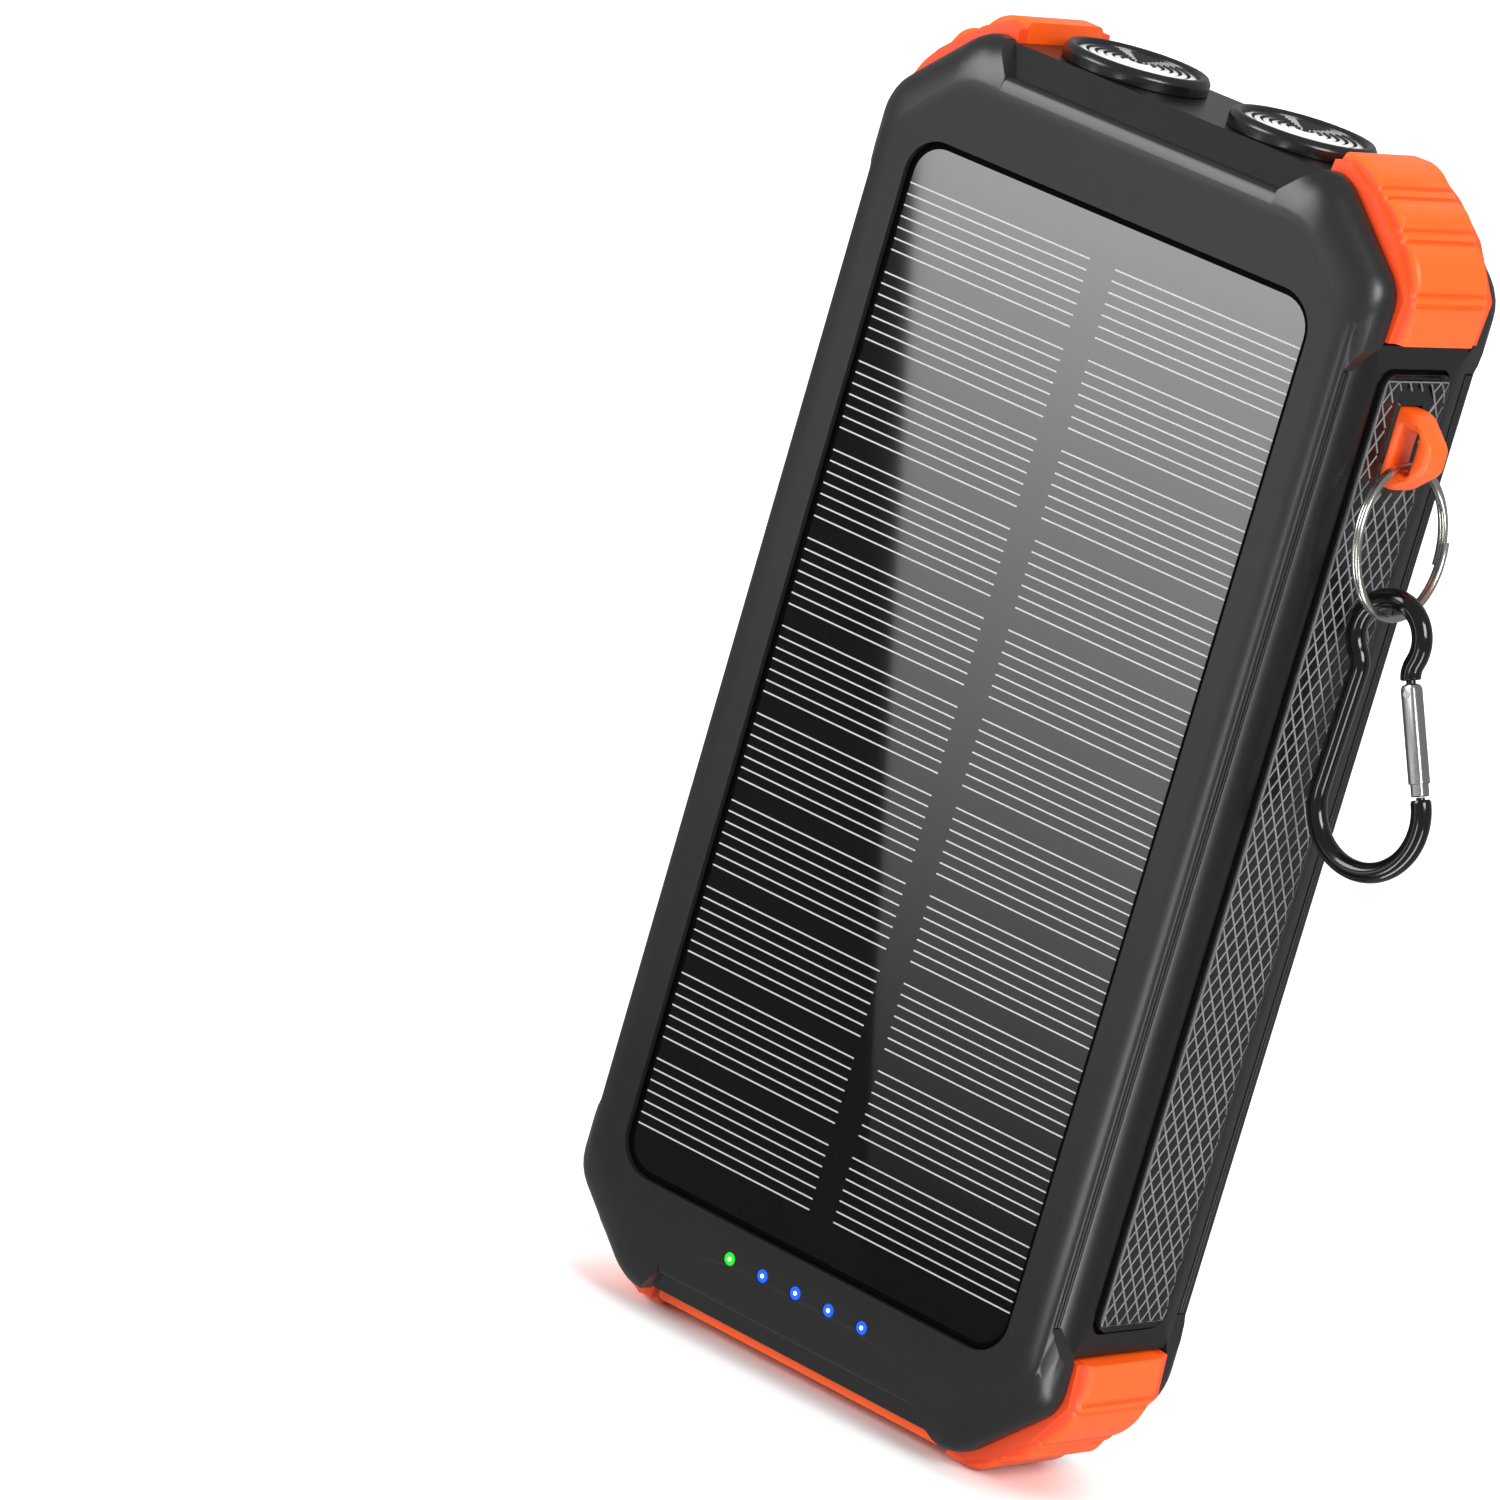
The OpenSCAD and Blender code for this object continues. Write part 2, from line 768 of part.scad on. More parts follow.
lens_r = torch_r - 1.7;
bezel_top = band_z + torch_h;

module torch_bezel(sx)
  color("#1f2022")
    translate([sx * torch_pitch / 2, 0, half_l])
      rotate_extrude($fn = 64)
        polygon([
          [lens_r + 0.1, band_z], [torch_r, band_z], [torch_r, bezel_top - 0.7],
          [torch_r - 0.5, bezel_top], [lens_r + 0.5, bezel_top], [lens_r + 0.1, bezel_top - 0.5]
        ]);

module torch_lens(sx)
  color([0.9, 0.93, 0.96, 0.5])
    translate([sx * torch_pitch / 2, 0, half_l])
      rotate_extrude($fn = 64)
        polygon([
          [0, band_z + 0.3], [lens_r, band_z + 0.3], [lens_r, bezel_top - 0.6], [0, bezel_top - 0.4]
        ]);

module torch_reflector(sx)
  color("#d8dce0")
    translate([sx * torch_pitch / 2, 0, half_l])
      rotate_extrude($fn = 64)
        polygon([
          [2.4, band_z - 8.6], [7.2, band_z + 0.1], [7.2, band_z - 1.2], [3.0, band_z - 9.2], [2.4, band_z - 9.2]
        ]);

module torch_bezel_left() torch_bezel(-1);
module torch_bezel_right() torch_bezel(1);
module torch_lens_left() torch_lens(-1);
module torch_lens_right() torch_lens(1);
module torch_reflector_left() torch_reflector(-1);
module torch_reflector_right() torch_reflector(1);

module torch_leds()
  color("#f5e7a0")
    for (sx = [-1, 1])
      translate([sx * torch_pitch / 2, 0, half_l + band_z - 9.9])
        cylinder(r = 1.7, h = 1.4, $fn = 32);

module torch_board()
  color(board_green)
    translate([-21, -6, half_l + band_z - 11.2])
      cube([42, 12, 1.3]);

// ---------------------------------------------------------------- leads, clamp and screws

module lead(x, z_end)
  color("#2a2b2d")
    at_port_end()
      translate([x, 0, 0]) {
        across(-lead_w / 2, lead_w / 2)
          polygon(lead_strip(lead_h, half_l - z_end));
        translate([-lead_w / 2, lead_a[0], half_l + lead_a[1]])
          rotate([0, 90, 0])
            cylinder(r = lead_h, h = lead_w, $fn = 32);
      }

module usb_c_lead() lead(-lead_pitch, usb_c_z);
module usb_a_lead() lead(0, usb_a_z);
module eight_pin_lead() lead(lead_pitch, pin8_z);

module lead_roots()
  color("#2a2b2d")
    at_port_end()
      at_leads()
        across(-lead_w / 2, lead_w / 2)
          polygon(root_section(lead_h, root_start, root_end));

module plug_head(x, z, w, l, floor_y)
  color("#303134")
    translate([x - w / 2, floor_y + 0.3, z])
      cube([w, head_top - floor_y - 0.3, l]);

module usb_c_head() plug_head(-lead_pitch, usb_c_z, usb_c_head_w, head_l, head_floor);
module eight_pin_head() plug_head(lead_pitch, pin8_z, pin8_head_w, head_l + 0.2, head_floor + 0.9);
module usb_a_head() plug_head(0, usb_a_z, usb_a_head_w, usb_a_head_l, head_floor + 1.6);

// Metal shell of the USB-C plug, a flattened tube
module usb_c_shell()
  color("#c8ccd0")
    translate([-lead_pitch, lead_y, usb_c_z + head_l])
      linear_extrude(usb_c_shell_l)
        difference() {
          round_rect(8.3, 2.5, 1.2);
          round_rect(7.6, 1.8, 0.85);
        }

module eight_pin_tab()
  color("#dfe2e5")
    translate([lead_pitch, lead_y, pin8_z + head_l + 0.2])
      linear_extrude(pin8_tab_l)
        round_rect(6.7, 1.5, 0.7);

module usb_a_tongue()
  color("#1d1e20")
    translate([-6, lead_y - 0.8, usb_a_z + usb_a_head_l])
      cube([12, 2, usb_a_tongue_l]);

module usb_a_contacts()
  color("#d9a441")
    for (i = [-1.5:1.5])
      translate([i * 2.4 - 0.6, lead_y + 1.2, usb_a_z + usb_a_head_l + 1.8])
        cube([1.2, 0.12, abs(i) > 1 ? 8.4 : 7.4]);

// Comb that holds the leads down: a plate under them and a pad between each two
clamp_z = half_l - cav_z + 0.4;
clamp_len = cav_z - clamp_low - 0.4;

module clamp_blank() {
  intersection() {
    union() {
      translate([-clamp_x, clamp_base_y, clamp_z])
        cube([2 * clamp_x, channel_floor - clamp_base_y, clamp_len]);
      for (p = pad_edges)
        translate([p[0], clamp_base_y, clamp_z])
          cube([p[1] - p[0], edge_y - clamp_base_y + 0.1, clamp_len]);
    }
    slab(0, half_t) lid_outline();
  }
  for (p = pad_edges) {
    translate([p[0], edge_y + 0.1 - eps, clamp_z])
      cube([p[1] - p[0], half_t - edge_y - 0.1 + eps, clamp_len]);
    at_port_end()
      across(p[0], p[1])
        polygon([
          [edge_y + 0.1, cav_z - 1], [half_t, cav_z - 1], [half_t, flat_z],
          [half_t - 0.3, flat_z + 1.9], [half_t - 0.8, flat_z + 2.9], [edge_y + 0.1, edge_z]
        ]);
  }
}

module cable_clamp()
  color(cover_black)
    difference() {
      clamp_blank();
      clamp_bores(screw_shank_r + shank_gap, 0, half_t + 1);
      clamp_bores(screw_recess_r - 0.2, half_t - screw_seat, half_t + 1);
    }

// Pan-head screw with a cross slot, its head's top just below the surface
module screw(x, w, l)
  difference() {
    union() {
      bar_y(screw_head_r, x, w, half_t - screw_seat, half_t - 0.5, 32);
      bar_y(screw_shank_r, x, w, half_t - screw_seat - l, half_t - screw_seat + eps, 32);
    }
    for (a = [45, 135])
      translate([x, half_t, half_l + w])
        rotate([0, a, 0])
          cube([2.6, 2.2, 0.6], center = true);
  }

module corner_screws()
  color("#6e7175")
    for (sx = [-1, 1], sz = [-1, 1])
      screw(sx * screw_x, sz * screw_z, 7);

module clamp_screws()
  color("#6e7175")
    for (x = clamp_screw_x)
      screw(x, -clamp_low - 5.1, 4.2);

// ---------------------------------------------------------------- electronics and battery

board_y = port_y - port_h / 2 - 1.6;

module main_board()
  color(board_green)
    translate([0, board_y + 1.6, 0])
      rotate([90, 0, 0])
        linear_extrude(1.6)
          polygon([[-19, 9.4], [19, 9.4], [24, 14.4], [24, 28], [-24, 28], [-24, 14.4]]);

module usb_port(x)
  color("#c2c6ca")
    translate([x, port_y, foot_proud + port_face])
      difference() {
        linear_extrude(port_d) square([port_w, port_h], center = true);
        translate([0, 0, -eps]) linear_extrude(port_d - 1) square([port_w - 0.8, port_h - 0.8], center = true);
      }

module port_tongue(x)
  color("#e8e8ea")
    translate([x - 5, port_y + 0.2, foot_proud + port_face + 2])
      cube([10, 1.8, port_d - 3 + eps]);

module usb_port_left() {
  usb_port(-port_x);
  port_tongue(-port_x);
}

module usb_port_right() {
  usb_port(port_x);
  port_tongue(port_x);
}

module usb_c_port()
  color("#c2c6ca")
    translate([0, board_y + 3.2, foot_proud + port_face])
      difference() {
        linear_extrude(7.5) round_rect(9, 3.2, 1.5);
        translate([0, 0, -eps]) linear_extrude(6.5) round_rect(8.4, 2.6, 1.2);
      }

module board_coil()
  color("#4a4b4d")
    translate([-3.6, board_y + 1.6, 19])
      cube([7.2, 3, 7.2]);

module board_chips()
  color("#17181a")
    for (x = [-19, -12, 12.5])
      translate([x, board_y - 1.2, 14])
        cube([5.6, 1.2, 6]);

cell_w = 58;
cell_z = [34, 142];
pack_front = -back_y + 2.2;
pack_back = head_floor - 1.6;
cell_t = (pack_back - pack_front - 0.6) / 2;

module battery_cell(y)
  color("#b9bcc0")
    translate([-cell_w / 2, y, cell_z[0]])
      cube([cell_w, cell_t, cell_z[1] - cell_z[0]]);

module battery_cell_front() battery_cell(pack_front);
module battery_cell_back() battery_cell(pack_back - cell_t);

module battery_pad()
  color("#3d3d40")
    translate([-cell_w / 2 + 3, pack_front + cell_t, cell_z[0] + 4])
      cube([cell_w - 6, 0.6, cell_z[1] - cell_z[0] - 8]);

// ---------------------------------------------------------------- lanyard

module lanyard_loop()
  color(rubber_orange) {
    translate([0, loop_t / 2, loop_z])
      rotate([90, 0, 0])
        linear_extrude(loop_t)
          difference() {
            polygon([
              [band_x - grip_deep + 1, -loop_half], [band_x + 2.8, -loop_half],
              [loop_out, 3.4 - loop_half], [loop_out, loop_half - 3.4],
              [band_x + 2.8, loop_half], [band_x - grip_deep + 1, loop_half]
            ]);
            translate([band_x + 1.4, loop_leg - loop_half])
              square([loop_out - loop_bar - band_x - 1.4, 2 * (loop_half - loop_leg)]);
          }
    loop_foot(0);
  }

// Puts its child at the wire's resting place with the lanyard's lean: the child hangs down -Z
module hung(down)
  translate([hang_x, 0, hang_z])
    rotate([0, -lanyard_lean, 0])
      translate([0, 0, -down])
        children();

module split_ring()
  color("#b7bbc0")
    hung(ring_r)
      rotate([0, 90, 0])
        rotate_extrude($fn = 72)
          translate([ring_r, 0])
            circle(ring_wire, $fn = 20);

// Points along an arc, from one angle to another
function arc(c, r, from, to, n) = [for (i = [0:n]) on_arc(c, r, from + (to - from) * i / n)];

// Round rod that follows a line of points in the X-Z plane
module bent_rod(path, r, sides = 16) {
  last = len(path) - 1;
  rings = [for (i = [0:last])
    let (t = path[min(i + 1, last)] - path[max(i - 1, 0)], u = t / norm(t))
      for (k = [0:sides - 1])
        let (a = 360 * k / sides)
          [path[i][0] - r * cos(a) * u[1], r * sin(a), path[i][1] + r * cos(a) * u[0]]];
  walls = [for (i = [0:last - 1], k = [0:sides - 1])
    let (a = i * sides + k, b = i * sides + (k + 1) % sides)
      [a, b, b + sides, a + sides]];
  ends = [[for (k = [0:sides - 1]) sides - 1 - k], [for (k = [0:sides - 1]) last * sides + k]];
  polyhedron(points = rings, faces = concat(walls, ends), convexity = 6);
}

clip_c1 = [0, -clip_top_r];
clip_c2 = [0, -clip_top_r - clip_d];
function on_arc(c, r, a) = c + r * [cos(a), sin(a)];

// The neck curves the other way; its side runs tangent to the wide arc below
neck_c = on_arc(clip_c1, clip_top_r + neck_r, 180 + neck_turn);
neck_gap = neck_c - clip_c2;
side_a = atan2(neck_gap[1], -neck_gap[0]) - acos((clip_low_r + neck_r) / norm(neck_gap));
side_top = on_arc(neck_c, neck_r, -side_a);
side_low = on_arc(clip_c2, clip_low_r, 180 - side_a);
side_dir = (side_low - side_top) / norm(side_low - side_top);
gate_tilt = atan2(-side_dir[0], side_dir[1]);

// Gate on the outer side: from just below the neck to just above the wide arc's end
gate_gap = 0.35;
gate_r = clip_rod - 0.1;
gate_drop = gate_gap + gate_r + 0.1;
gate_pin = [-side_top[0], side_top[1]] + gate_drop * [-side_dir[0], side_dir[1]];
gate_len = norm(side_low - side_top) - gate_drop - 2.4;
low_end = side_a - 8;

// Middle line of the carabiner's rod, from the gate's hinge end round to its nose
clip_path = concat(
  arc([-neck_c[0], neck_c[1]], neck_r, 180 + side_a, 180 - neck_turn + 6, 6),
  arc(clip_c1, clip_top_r, -neck_turn, 180 + neck_turn, 24),
  arc(neck_c, neck_r, neck_turn - 6, -side_a, 6),
  arc(clip_c2, clip_low_r, 180 - side_a, 360 + low_end, 26)
);

// Puts its child at the gate's rivet, its Z axis running down the gate
module at_gate()
  translate([gate_pin[0], 0, gate_pin[1]])
    rotate([0, gate_tilt, 0])
      children();

module carabiner_body()
  color("#232427")
    hung(clip_hold) {
      bent_rod(clip_path, clip_rod);
      difference() {
        at_gate() translate([-0.8, -0.4, -gate_drop - 0.6]) cube([1.6, 0.8, gate_drop + 1.4]);
        at_gate() rotate([90, 0, 0]) cylinder(r = 0.47, h = 4, center = true, $fn = 24);
      }
    }

module carabiner_gate()
  color("#c3c7cb")
    hung(clip_hold)
      at_gate()
        difference() {
          union() {
            sphere(gate_r, $fn = 32);
            cylinder(r = gate_r, h = gate_len, $fn = 32);
          }
          translate([-2, -0.5, -2]) cube([4, 1, 3.4]);
          cylinder(r = 0.55, h = 8, $fn = 24);
          rotate([90, 0, 0]) cylinder(r = 0.5, h = 4, center = true, $fn = 24);
        }

module gate_rivet()
  color("#8d9196")
    hung(clip_hold)
      at_gate()
        rotate([90, 0, 0])
          cylinder(r = 0.45, h = 2 * gate_r + 0.1, center = true, $fn = 24);

module gate_spring()
  color("#9a9ea3")
    hung(clip_hold)
      at_gate()
        translate([0, 0, 1.6])
          cylinder(r = 0.4, h = 6.2, $fn = 20);

// ---------------------------------------------------------------- output

casing();
front_frame();
rear_cover();
front_seal();
rear_seal();
bumper_top_left();
bumper_top_right();
bumper_bottom_left();
bumper_bottom_right();
port_cover();
grip_left();
grip_right();
power_button();
button_switch();
solar_glass();
solar_cells();
solar_backing();
led_pipe_green();
led_pipes_blue();
led_board();
torch_bezel_left();
torch_bezel_right();
torch_lens_left();
torch_lens_right();
torch_reflector_left();
torch_reflector_right();
torch_leds();
torch_board();
cable_clamp();
clamp_screws();
corner_screws();
lead_roots();
usb_c_lead();
usb_c_head();
usb_c_shell();
usb_a_lead();
usb_a_head();
usb_a_tongue();
usb_a_contacts();
eight_pin_lead();
eight_pin_head();
eight_pin_tab();
main_board();
usb_port_left();
usb_port_right();
usb_c_port();
board_coil();
board_chips();
battery_cell_front();
battery_cell_back();
battery_pad();
lanyard_loop();
split_ring();
carabiner_body();
carabiner_gate();
gate_rivet();
gate_spring();
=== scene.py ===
"""Looks of a rugged solar phone charger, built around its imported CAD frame.

The frame gives every place and size. This script adds the finer moulded, woven, printed and metal
surfaces, a pale studio floor, soft light and the camera. Lengths are in metres.
"""

import logging
import math
from dataclasses import dataclass, field
from enum import Enum
from typing import Callable, Iterable, Sequence

import bmesh
import bpy
from mathutils import Matrix, Vector


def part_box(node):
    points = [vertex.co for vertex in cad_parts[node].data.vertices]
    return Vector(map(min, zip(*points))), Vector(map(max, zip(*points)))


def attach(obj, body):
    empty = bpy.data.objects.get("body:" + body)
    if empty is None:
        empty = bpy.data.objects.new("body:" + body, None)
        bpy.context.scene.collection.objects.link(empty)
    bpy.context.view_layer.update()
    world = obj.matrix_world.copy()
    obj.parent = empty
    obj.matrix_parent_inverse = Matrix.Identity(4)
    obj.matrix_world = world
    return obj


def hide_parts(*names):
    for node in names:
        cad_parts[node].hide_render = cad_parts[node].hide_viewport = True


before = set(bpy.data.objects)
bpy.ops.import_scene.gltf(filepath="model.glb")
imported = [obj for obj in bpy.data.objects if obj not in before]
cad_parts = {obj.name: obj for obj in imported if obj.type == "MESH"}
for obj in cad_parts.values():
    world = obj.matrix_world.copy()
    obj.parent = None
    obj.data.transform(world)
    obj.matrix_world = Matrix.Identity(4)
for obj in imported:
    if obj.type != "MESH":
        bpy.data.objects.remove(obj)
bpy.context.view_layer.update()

MM = 0.001
LOG = logging.getLogger("charger")
Point = tuple[float, float, float]
Face = Sequence[int]


# ---------------------------------------------------------------- small helpers


def linear(hex_colour: str) -> tuple[float, float, float, float]:
    """Turns an sRGB hex colour into the linear RGBA that shaders take.

    Args:
        hex_colour: Colour as "#rrggbb".

    Returns:
        Red, green, blue and an alpha of 1, in linear light.
    """
    channels = []
    for at in (1, 3, 5):
        value = int(hex_colour[at : at + 2], 16) / 255
        channels.append(value / 12.92 if value <= 0.04045 else ((value + 0.055) / 1.055) ** 2.4)
    return (channels[0], channels[1], channels[2], 1.0)


def add(tree: bpy.types.NodeTree, kind: str, links: dict | None = None, **settings) -> bpy.types.Node:
    """Adds one shader node with its settings and its incoming links.

    Args:
        tree: Node tree to add to.
        kind: Blender's name of the node type.
        links: Input name or index to the output socket that feeds it.
        settings: Attributes of the node, or values of its inputs under "in_<name>" keys.

    Returns:
        The new node.
    """
    node = tree.nodes.new(kind)
    for key, value in settings.items():
        if key.startswith("in_"):
            name = key[3:].replace("_", " ")
            node.inputs[name].default_value = value
        else:
            setattr(node, key, value)
    for name, socket in (links or {}).items():
        tree.links.new(socket, node.inputs[name])
    return node


class Body(Enum):
    """Bodies of the frame that pieces ride on."""

    UNIT = "unit"
    FLAP = "port_flap"
    BUTTON = "button"
    USB_C = "usb_c_cable"
    USB_A = "usb_a_cable"
    EIGHT_PIN = "eight_pin_cable"
    RING = "ring"
    CARABINER = "carabiner"
    GATE = "gate"


class Grain(Enum):
    """How the surface of a moulding or a metal was made."""

    SPARK = "fine spark-eroded texture"
    SOFT = "soft rubber bloom"
    BRUSHED = "drawn or brushed metal"
    POLISHED = "polished"


# ---------------------------------------------------------------- finishes


@dataclass(frozen=True)
class Finish:
    """One material with its colour, gloss and surface grain.

    Attributes:
        name: The real material's name.
        colour: Main sRGB colour.
        second: Colour that the main one drifts towards in patches.
        roughness: Mean roughness.
        spread: How far the roughness wanders either way.
        metallic: 1 for a bare metal.
        ior: Index of refraction of the dielectric.
        grain: How the surface was made.
        grain_mm: Size of one grain in millimetres.
        depth_mm: Height of the grain in millimetres.
        coat: Weight of a clear coat.
        coat_roughness: Roughness of that coat.
    """

    name: str
    colour: str
    second: str
    roughness: float = 0.45
    spread: float = 0.05
    metallic: float = 0.0
    ior: float = 1.5
    grain: Grain = Grain.SPARK
    grain_mm: float = 0.35
    depth_mm: float = 0.012
    coat: float = 0.0
    coat_roughness: float = 0.1

    def material(self) -> bpy.types.Material:
        """Makes the material once and returns the same one afterwards."""
        known = bpy.data.materials.get(self.name)
        if known:
            return known
        made = bpy.data.materials.new(self.name)
        made.use_nodes = True
        tree = made.node_tree
        tree.nodes.clear()
        place = add(tree, "ShaderNodeTexCoord").outputs["Object"]
        patches = add(tree, "ShaderNodeTexNoise", {"Vector": place}, in_Scale=1 / (18 * MM), in_Detail=3.0)
        blend = add(tree, "ShaderNodeMix", {"Factor": patches.outputs["Fac"]}, data_type="RGBA")
        colour_out = next(s for s in blend.outputs if s.type == "RGBA")
        for socket in blend.inputs:
            if socket.type == "RGBA":
                socket.default_value = linear(self.colour if socket.name == "A" else self.second)
        gloss = add(
            tree,
            "ShaderNodeMapRange",
            {"Value": patches.outputs["Fac"]},
            in_To_Min=self.roughness - self.spread,
            in_To_Max=self.roughness + self.spread,
        )
        stretch = (1.0, 1.0, 0.08) if self.grain is Grain.BRUSHED else (1.0, 1.0, 1.0)
        mapped = add(tree, "ShaderNodeMapping", {"Vector": place}, in_Scale=stretch)
        grit = add(
            tree,
            "ShaderNodeTexNoise",
            {"Vector": mapped.outputs["Vector"]},
            in_Scale=1 / (self.grain_mm * MM),
            in_Detail=2.0,
        )
        bump = add(
            tree,
            "ShaderNodeBump",
            {"Height": grit.outputs["Fac"]},
            in_Distance=self.depth_mm * MM,
            in_Strength=0.0 if self.grain is Grain.POLISHED else 0.6,
        )
        shader = add(
            tree,
            "ShaderNodeBsdfPrincipled",
            {
                "Base Color": colour_out,
                "Roughness": gloss.outputs["Result"],
                "Normal": bump.outputs["Normal"],
            },
            in_Metallic=self.metallic,
            in_IOR=self.ior,
        )
        shader.inputs["Coat Weight"].default_value = self.coat
        shader.inputs["Coat Roughness"].default_value = self.coat_roughness
        add(tree, "ShaderNodeOutputMaterial", {"Surface": shader.outputs["BSDF"]})
        return made


# Injection-moulded ABS with a fine spark texture: an even charcoal with a wide soft highlight.
COVER_ABS = Finish("Moulded_ABS_cover", "#19191a", "#1e1e1f", 0.34, 0.03, depth_mm=0.006, grain_mm=0.3)
# The same ABS in the mid casing, a little smoother from the tool's slides, coloured darker than the covers as
# painted shade on the unit's sides.
CASING_ABS = Finish("Moulded_ABS_casing", "#0c0c0d", "#101011", 0.28, 0.03, depth_mm=0.005)
# Compression-moulded silicone seal: near black with a soft sheen on its beads.
SEAL = Finish("Silicone_seal", "#121213", "#18181a", 0.34, 0.04, ior=1.41, grain=Grain.SOFT)
# Thermoplastic polyurethane, moulded over a polished tool: strong orange with a soft broad gloss.
ORANGE_TPU = Finish(
    "Orange_TPU", "#f85608", "#f95c10", 0.40, 0.05, ior=1.5, grain=Grain.SOFT, grain_mm=0.6, depth_mm=0.006
)
# The same polyurethane where it lies against the casing, a little rougher where the tool was left rough, and in
# a deeper orange as painted shade where the bumper sinks against the casing.
ORANGE_EDGE = Finish("Orange_TPU_flange", "#e8400a", "#ec480e", 0.45, 0.05, grain=Grain.SOFT, depth_mm=0.006)
# Knurled TPU grip, matt on its diamonds.
GRIP = Finish("Knurled_TPU_grip", "#0d0d0e", "#131314", 0.24, 0.05, grain=Grain.SOFT, depth_mm=0.006)
# Flanks of the diamonds in pale grey as a painted highlight: thin bright lines on the dark tiles, standing for
# the light that the flanks catch.
GRIP_PAINTED_HIGHLIGHT = Finish("Painted_highlight_TPU_flank", "#808183", "#949597", 0.3, 0.05, grain=Grain.POLISHED)
# Laminated photovoltaic sheet under a gloss cover: black with mirror-like reflections.
PANEL = Finish("Laminated_solar_sheet", "#08090a", "#0b0c0e", 0.035, 0.01, ior=1.52, grain=Grain.POLISHED,
               coat=1.0, coat_roughness=0.03)
# Screen-printed silver paste: pale grey lines.
SILVER = Finish("Printed_silver_paste", "#b4b6b8", "#bec0c2", 0.4, 0.05, metallic=0.2, grain=Grain.POLISHED)
# Black butyl gasket that seats the panel in its window: near black, matt and hardly reflecting, so that it
# gives the seam round the panel its dark line as painted shade.
GASKET = Finish("Butyl_gasket", "#030303", "#060606", 0.7, 0.05, ior=1.1, grain=Grain.SOFT,
                depth_mm=0.004)
# Semi-gloss polycarbonate of the torch bezels.
BEZEL = Finish("Moulded_PC_bezel", "#101011", "#151516", 0.25, 0.04, ior=1.58, depth_mm=0.004)
# Vacuum-metallised reflector, only part metal so that its pale colour also shows in diffuse light as a painted
# highlight.
REFLECTOR = Finish("Metallised_reflector", "#eef0f2", "#e2e4e7", 0.12, 0.03, metallic=0.55,
                   grain=Grain.POLISHED)
# Nickel-plated pan-head screws.
NICKEL = Finish("Nickel_plated_steel", "#c9c7c2", "#b4b2ae", 0.22, 0.06, metallic=1.0, grain=Grain.POLISHED)
# PVC cable jacket, extruded: matt black with a faint lengthwise draw.
JACKET = Finish("Extruded_PVC_jacket", "#161617", "#1b1b1c", 0.45, 0.05, grain=Grain.BRUSHED, grain_mm=0.3)
# Overmoulded plug heads, the same PVC with a tool texture.
HEAD = Finish("Overmoulded_PVC_head", "#141415", "#19191a", 0.42, 0.05)
# Stamped and plated plug shells.
SHELL = Finish("Stamped_plated_shell", "#d5d7d9", "#c2c4c6", 0.2, 0.05, metallic=1.0, grain=Grain.BRUSHED,
               grain_mm=0.2, depth_mm=0.002)
# Gold flash on the contact pads.
GOLD = Finish("Gold_flash_contact", "#e3b04b", "#d79f38", 0.22, 0.05, metallic=1.0, grain=Grain.POLISHED)
# Black anodised aluminium rod, tumbled bright: deep black with long highlights.
ANODISED = Finish("Black_anodised_aluminium", "#0b0b0c", "#101011", 0.16, 0.03, metallic=0.5,
                  grain=Grain.POLISHED, coat=0.6, coat_roughness=0.08)
# Bare polished aluminium of the gate.
ALUMINIUM = Finish("Polished_aluminium", "#b9babb", "#a8a9aa", 0.28, 0.06, metallic=1.0, grain=Grain.BRUSHED,
                   grain_mm=0.2, depth_mm=0.002)
# Solder mask over glass-fibre board.
BOARD = Finish("Solder_masked_board", "#1f6b3a", "#1a5c32", 0.3, 0.05, grain=Grain.POLISHED)
# Laminated pouch foil.
POUCH = Finish("Aluminium_pouch_foil", "#b9bcc0", "#aaadb1", 0.35, 0.06, metallic=1.0, grain=Grain.BRUSHED)
# Open-cell foam between the cells.
FOAM = Finish("Open_cell_foam", "#3d3d40", "#303033", 0.8, 0.05, grain=Grain.SPARK, grain_mm=0.5, depth_mm=0.05)


@dataclass(frozen=True)
class Glow:
    """A lit light pipe or LED: clear plastic that shows the light behind it; the unlit torch phosphor also uses
    it for a faint painted glow.

    Attributes:
        name: The real material's name.
        colour: Colour of the light.
        strength: Strength of the emission.
    """

    name: str
    colour: str
    strength: float

    def material(self) -> bpy.types.Material:
        """Makes the material once and returns the same one afterwards."""
        known = bpy.data.materials.get(self.name)
        if known:
            return known
        made = bpy.data.materials.new(self.name)
        made.use_nodes = True
        tree = made.node_tree
        tree.nodes.clear()
        place = add(tree, "ShaderNodeTexCoord").outputs["Object"]
        haze = add(tree, "ShaderNodeTexNoise", {"Vector": place}, in_Scale=1 / (0.8 * MM))
        level = add(tree, "ShaderNodeMapRange", {"Value": haze.outputs["Fac"]}, in_To_Min=self.strength * 0.7,
                    in_To_Max=self.strength * 1.3)
        shader = add(tree, "ShaderNodeBsdfPrincipled", {"Emission Strength": level.outputs["Result"]},
                     in_Roughness=0.25, in_IOR=1.49)
        shader.inputs["Base Color"].default_value = linear(self.colour)
        shader.inputs["Emission Color"].default_value = linear(self.colour)
        add(tree, "ShaderNodeOutputMaterial", {"Surface": shader.outputs["BSDF"]})
        return made


# Clear polycarbonate light pipes, dyed by the light behind them: saturated at their rims.
GREEN_LIGHT = Glow("Lit_green_light_pipe", "#0fae1c", 0.9)
BLUE_LIGHT = Glow("Lit_blue_light_pipe", "#0d4ad8", 0.8)
# The middle of each pipe, where the lamp behind shines straight through: nearly white.
GREEN_CORE = Glow("Green_light_core", "#d8ffd8", 2.2)
BLUE_CORE = Glow("Blue_light_core", "#bfe0ff", 1.8)
# Phosphor over the torch LEDs, unlit: pale yellow, with a faint emission that is a painted glow.
PHOSPHOR = Glow("Yellow_phosphor_painted_glow", "#f3e58a", 0.4)


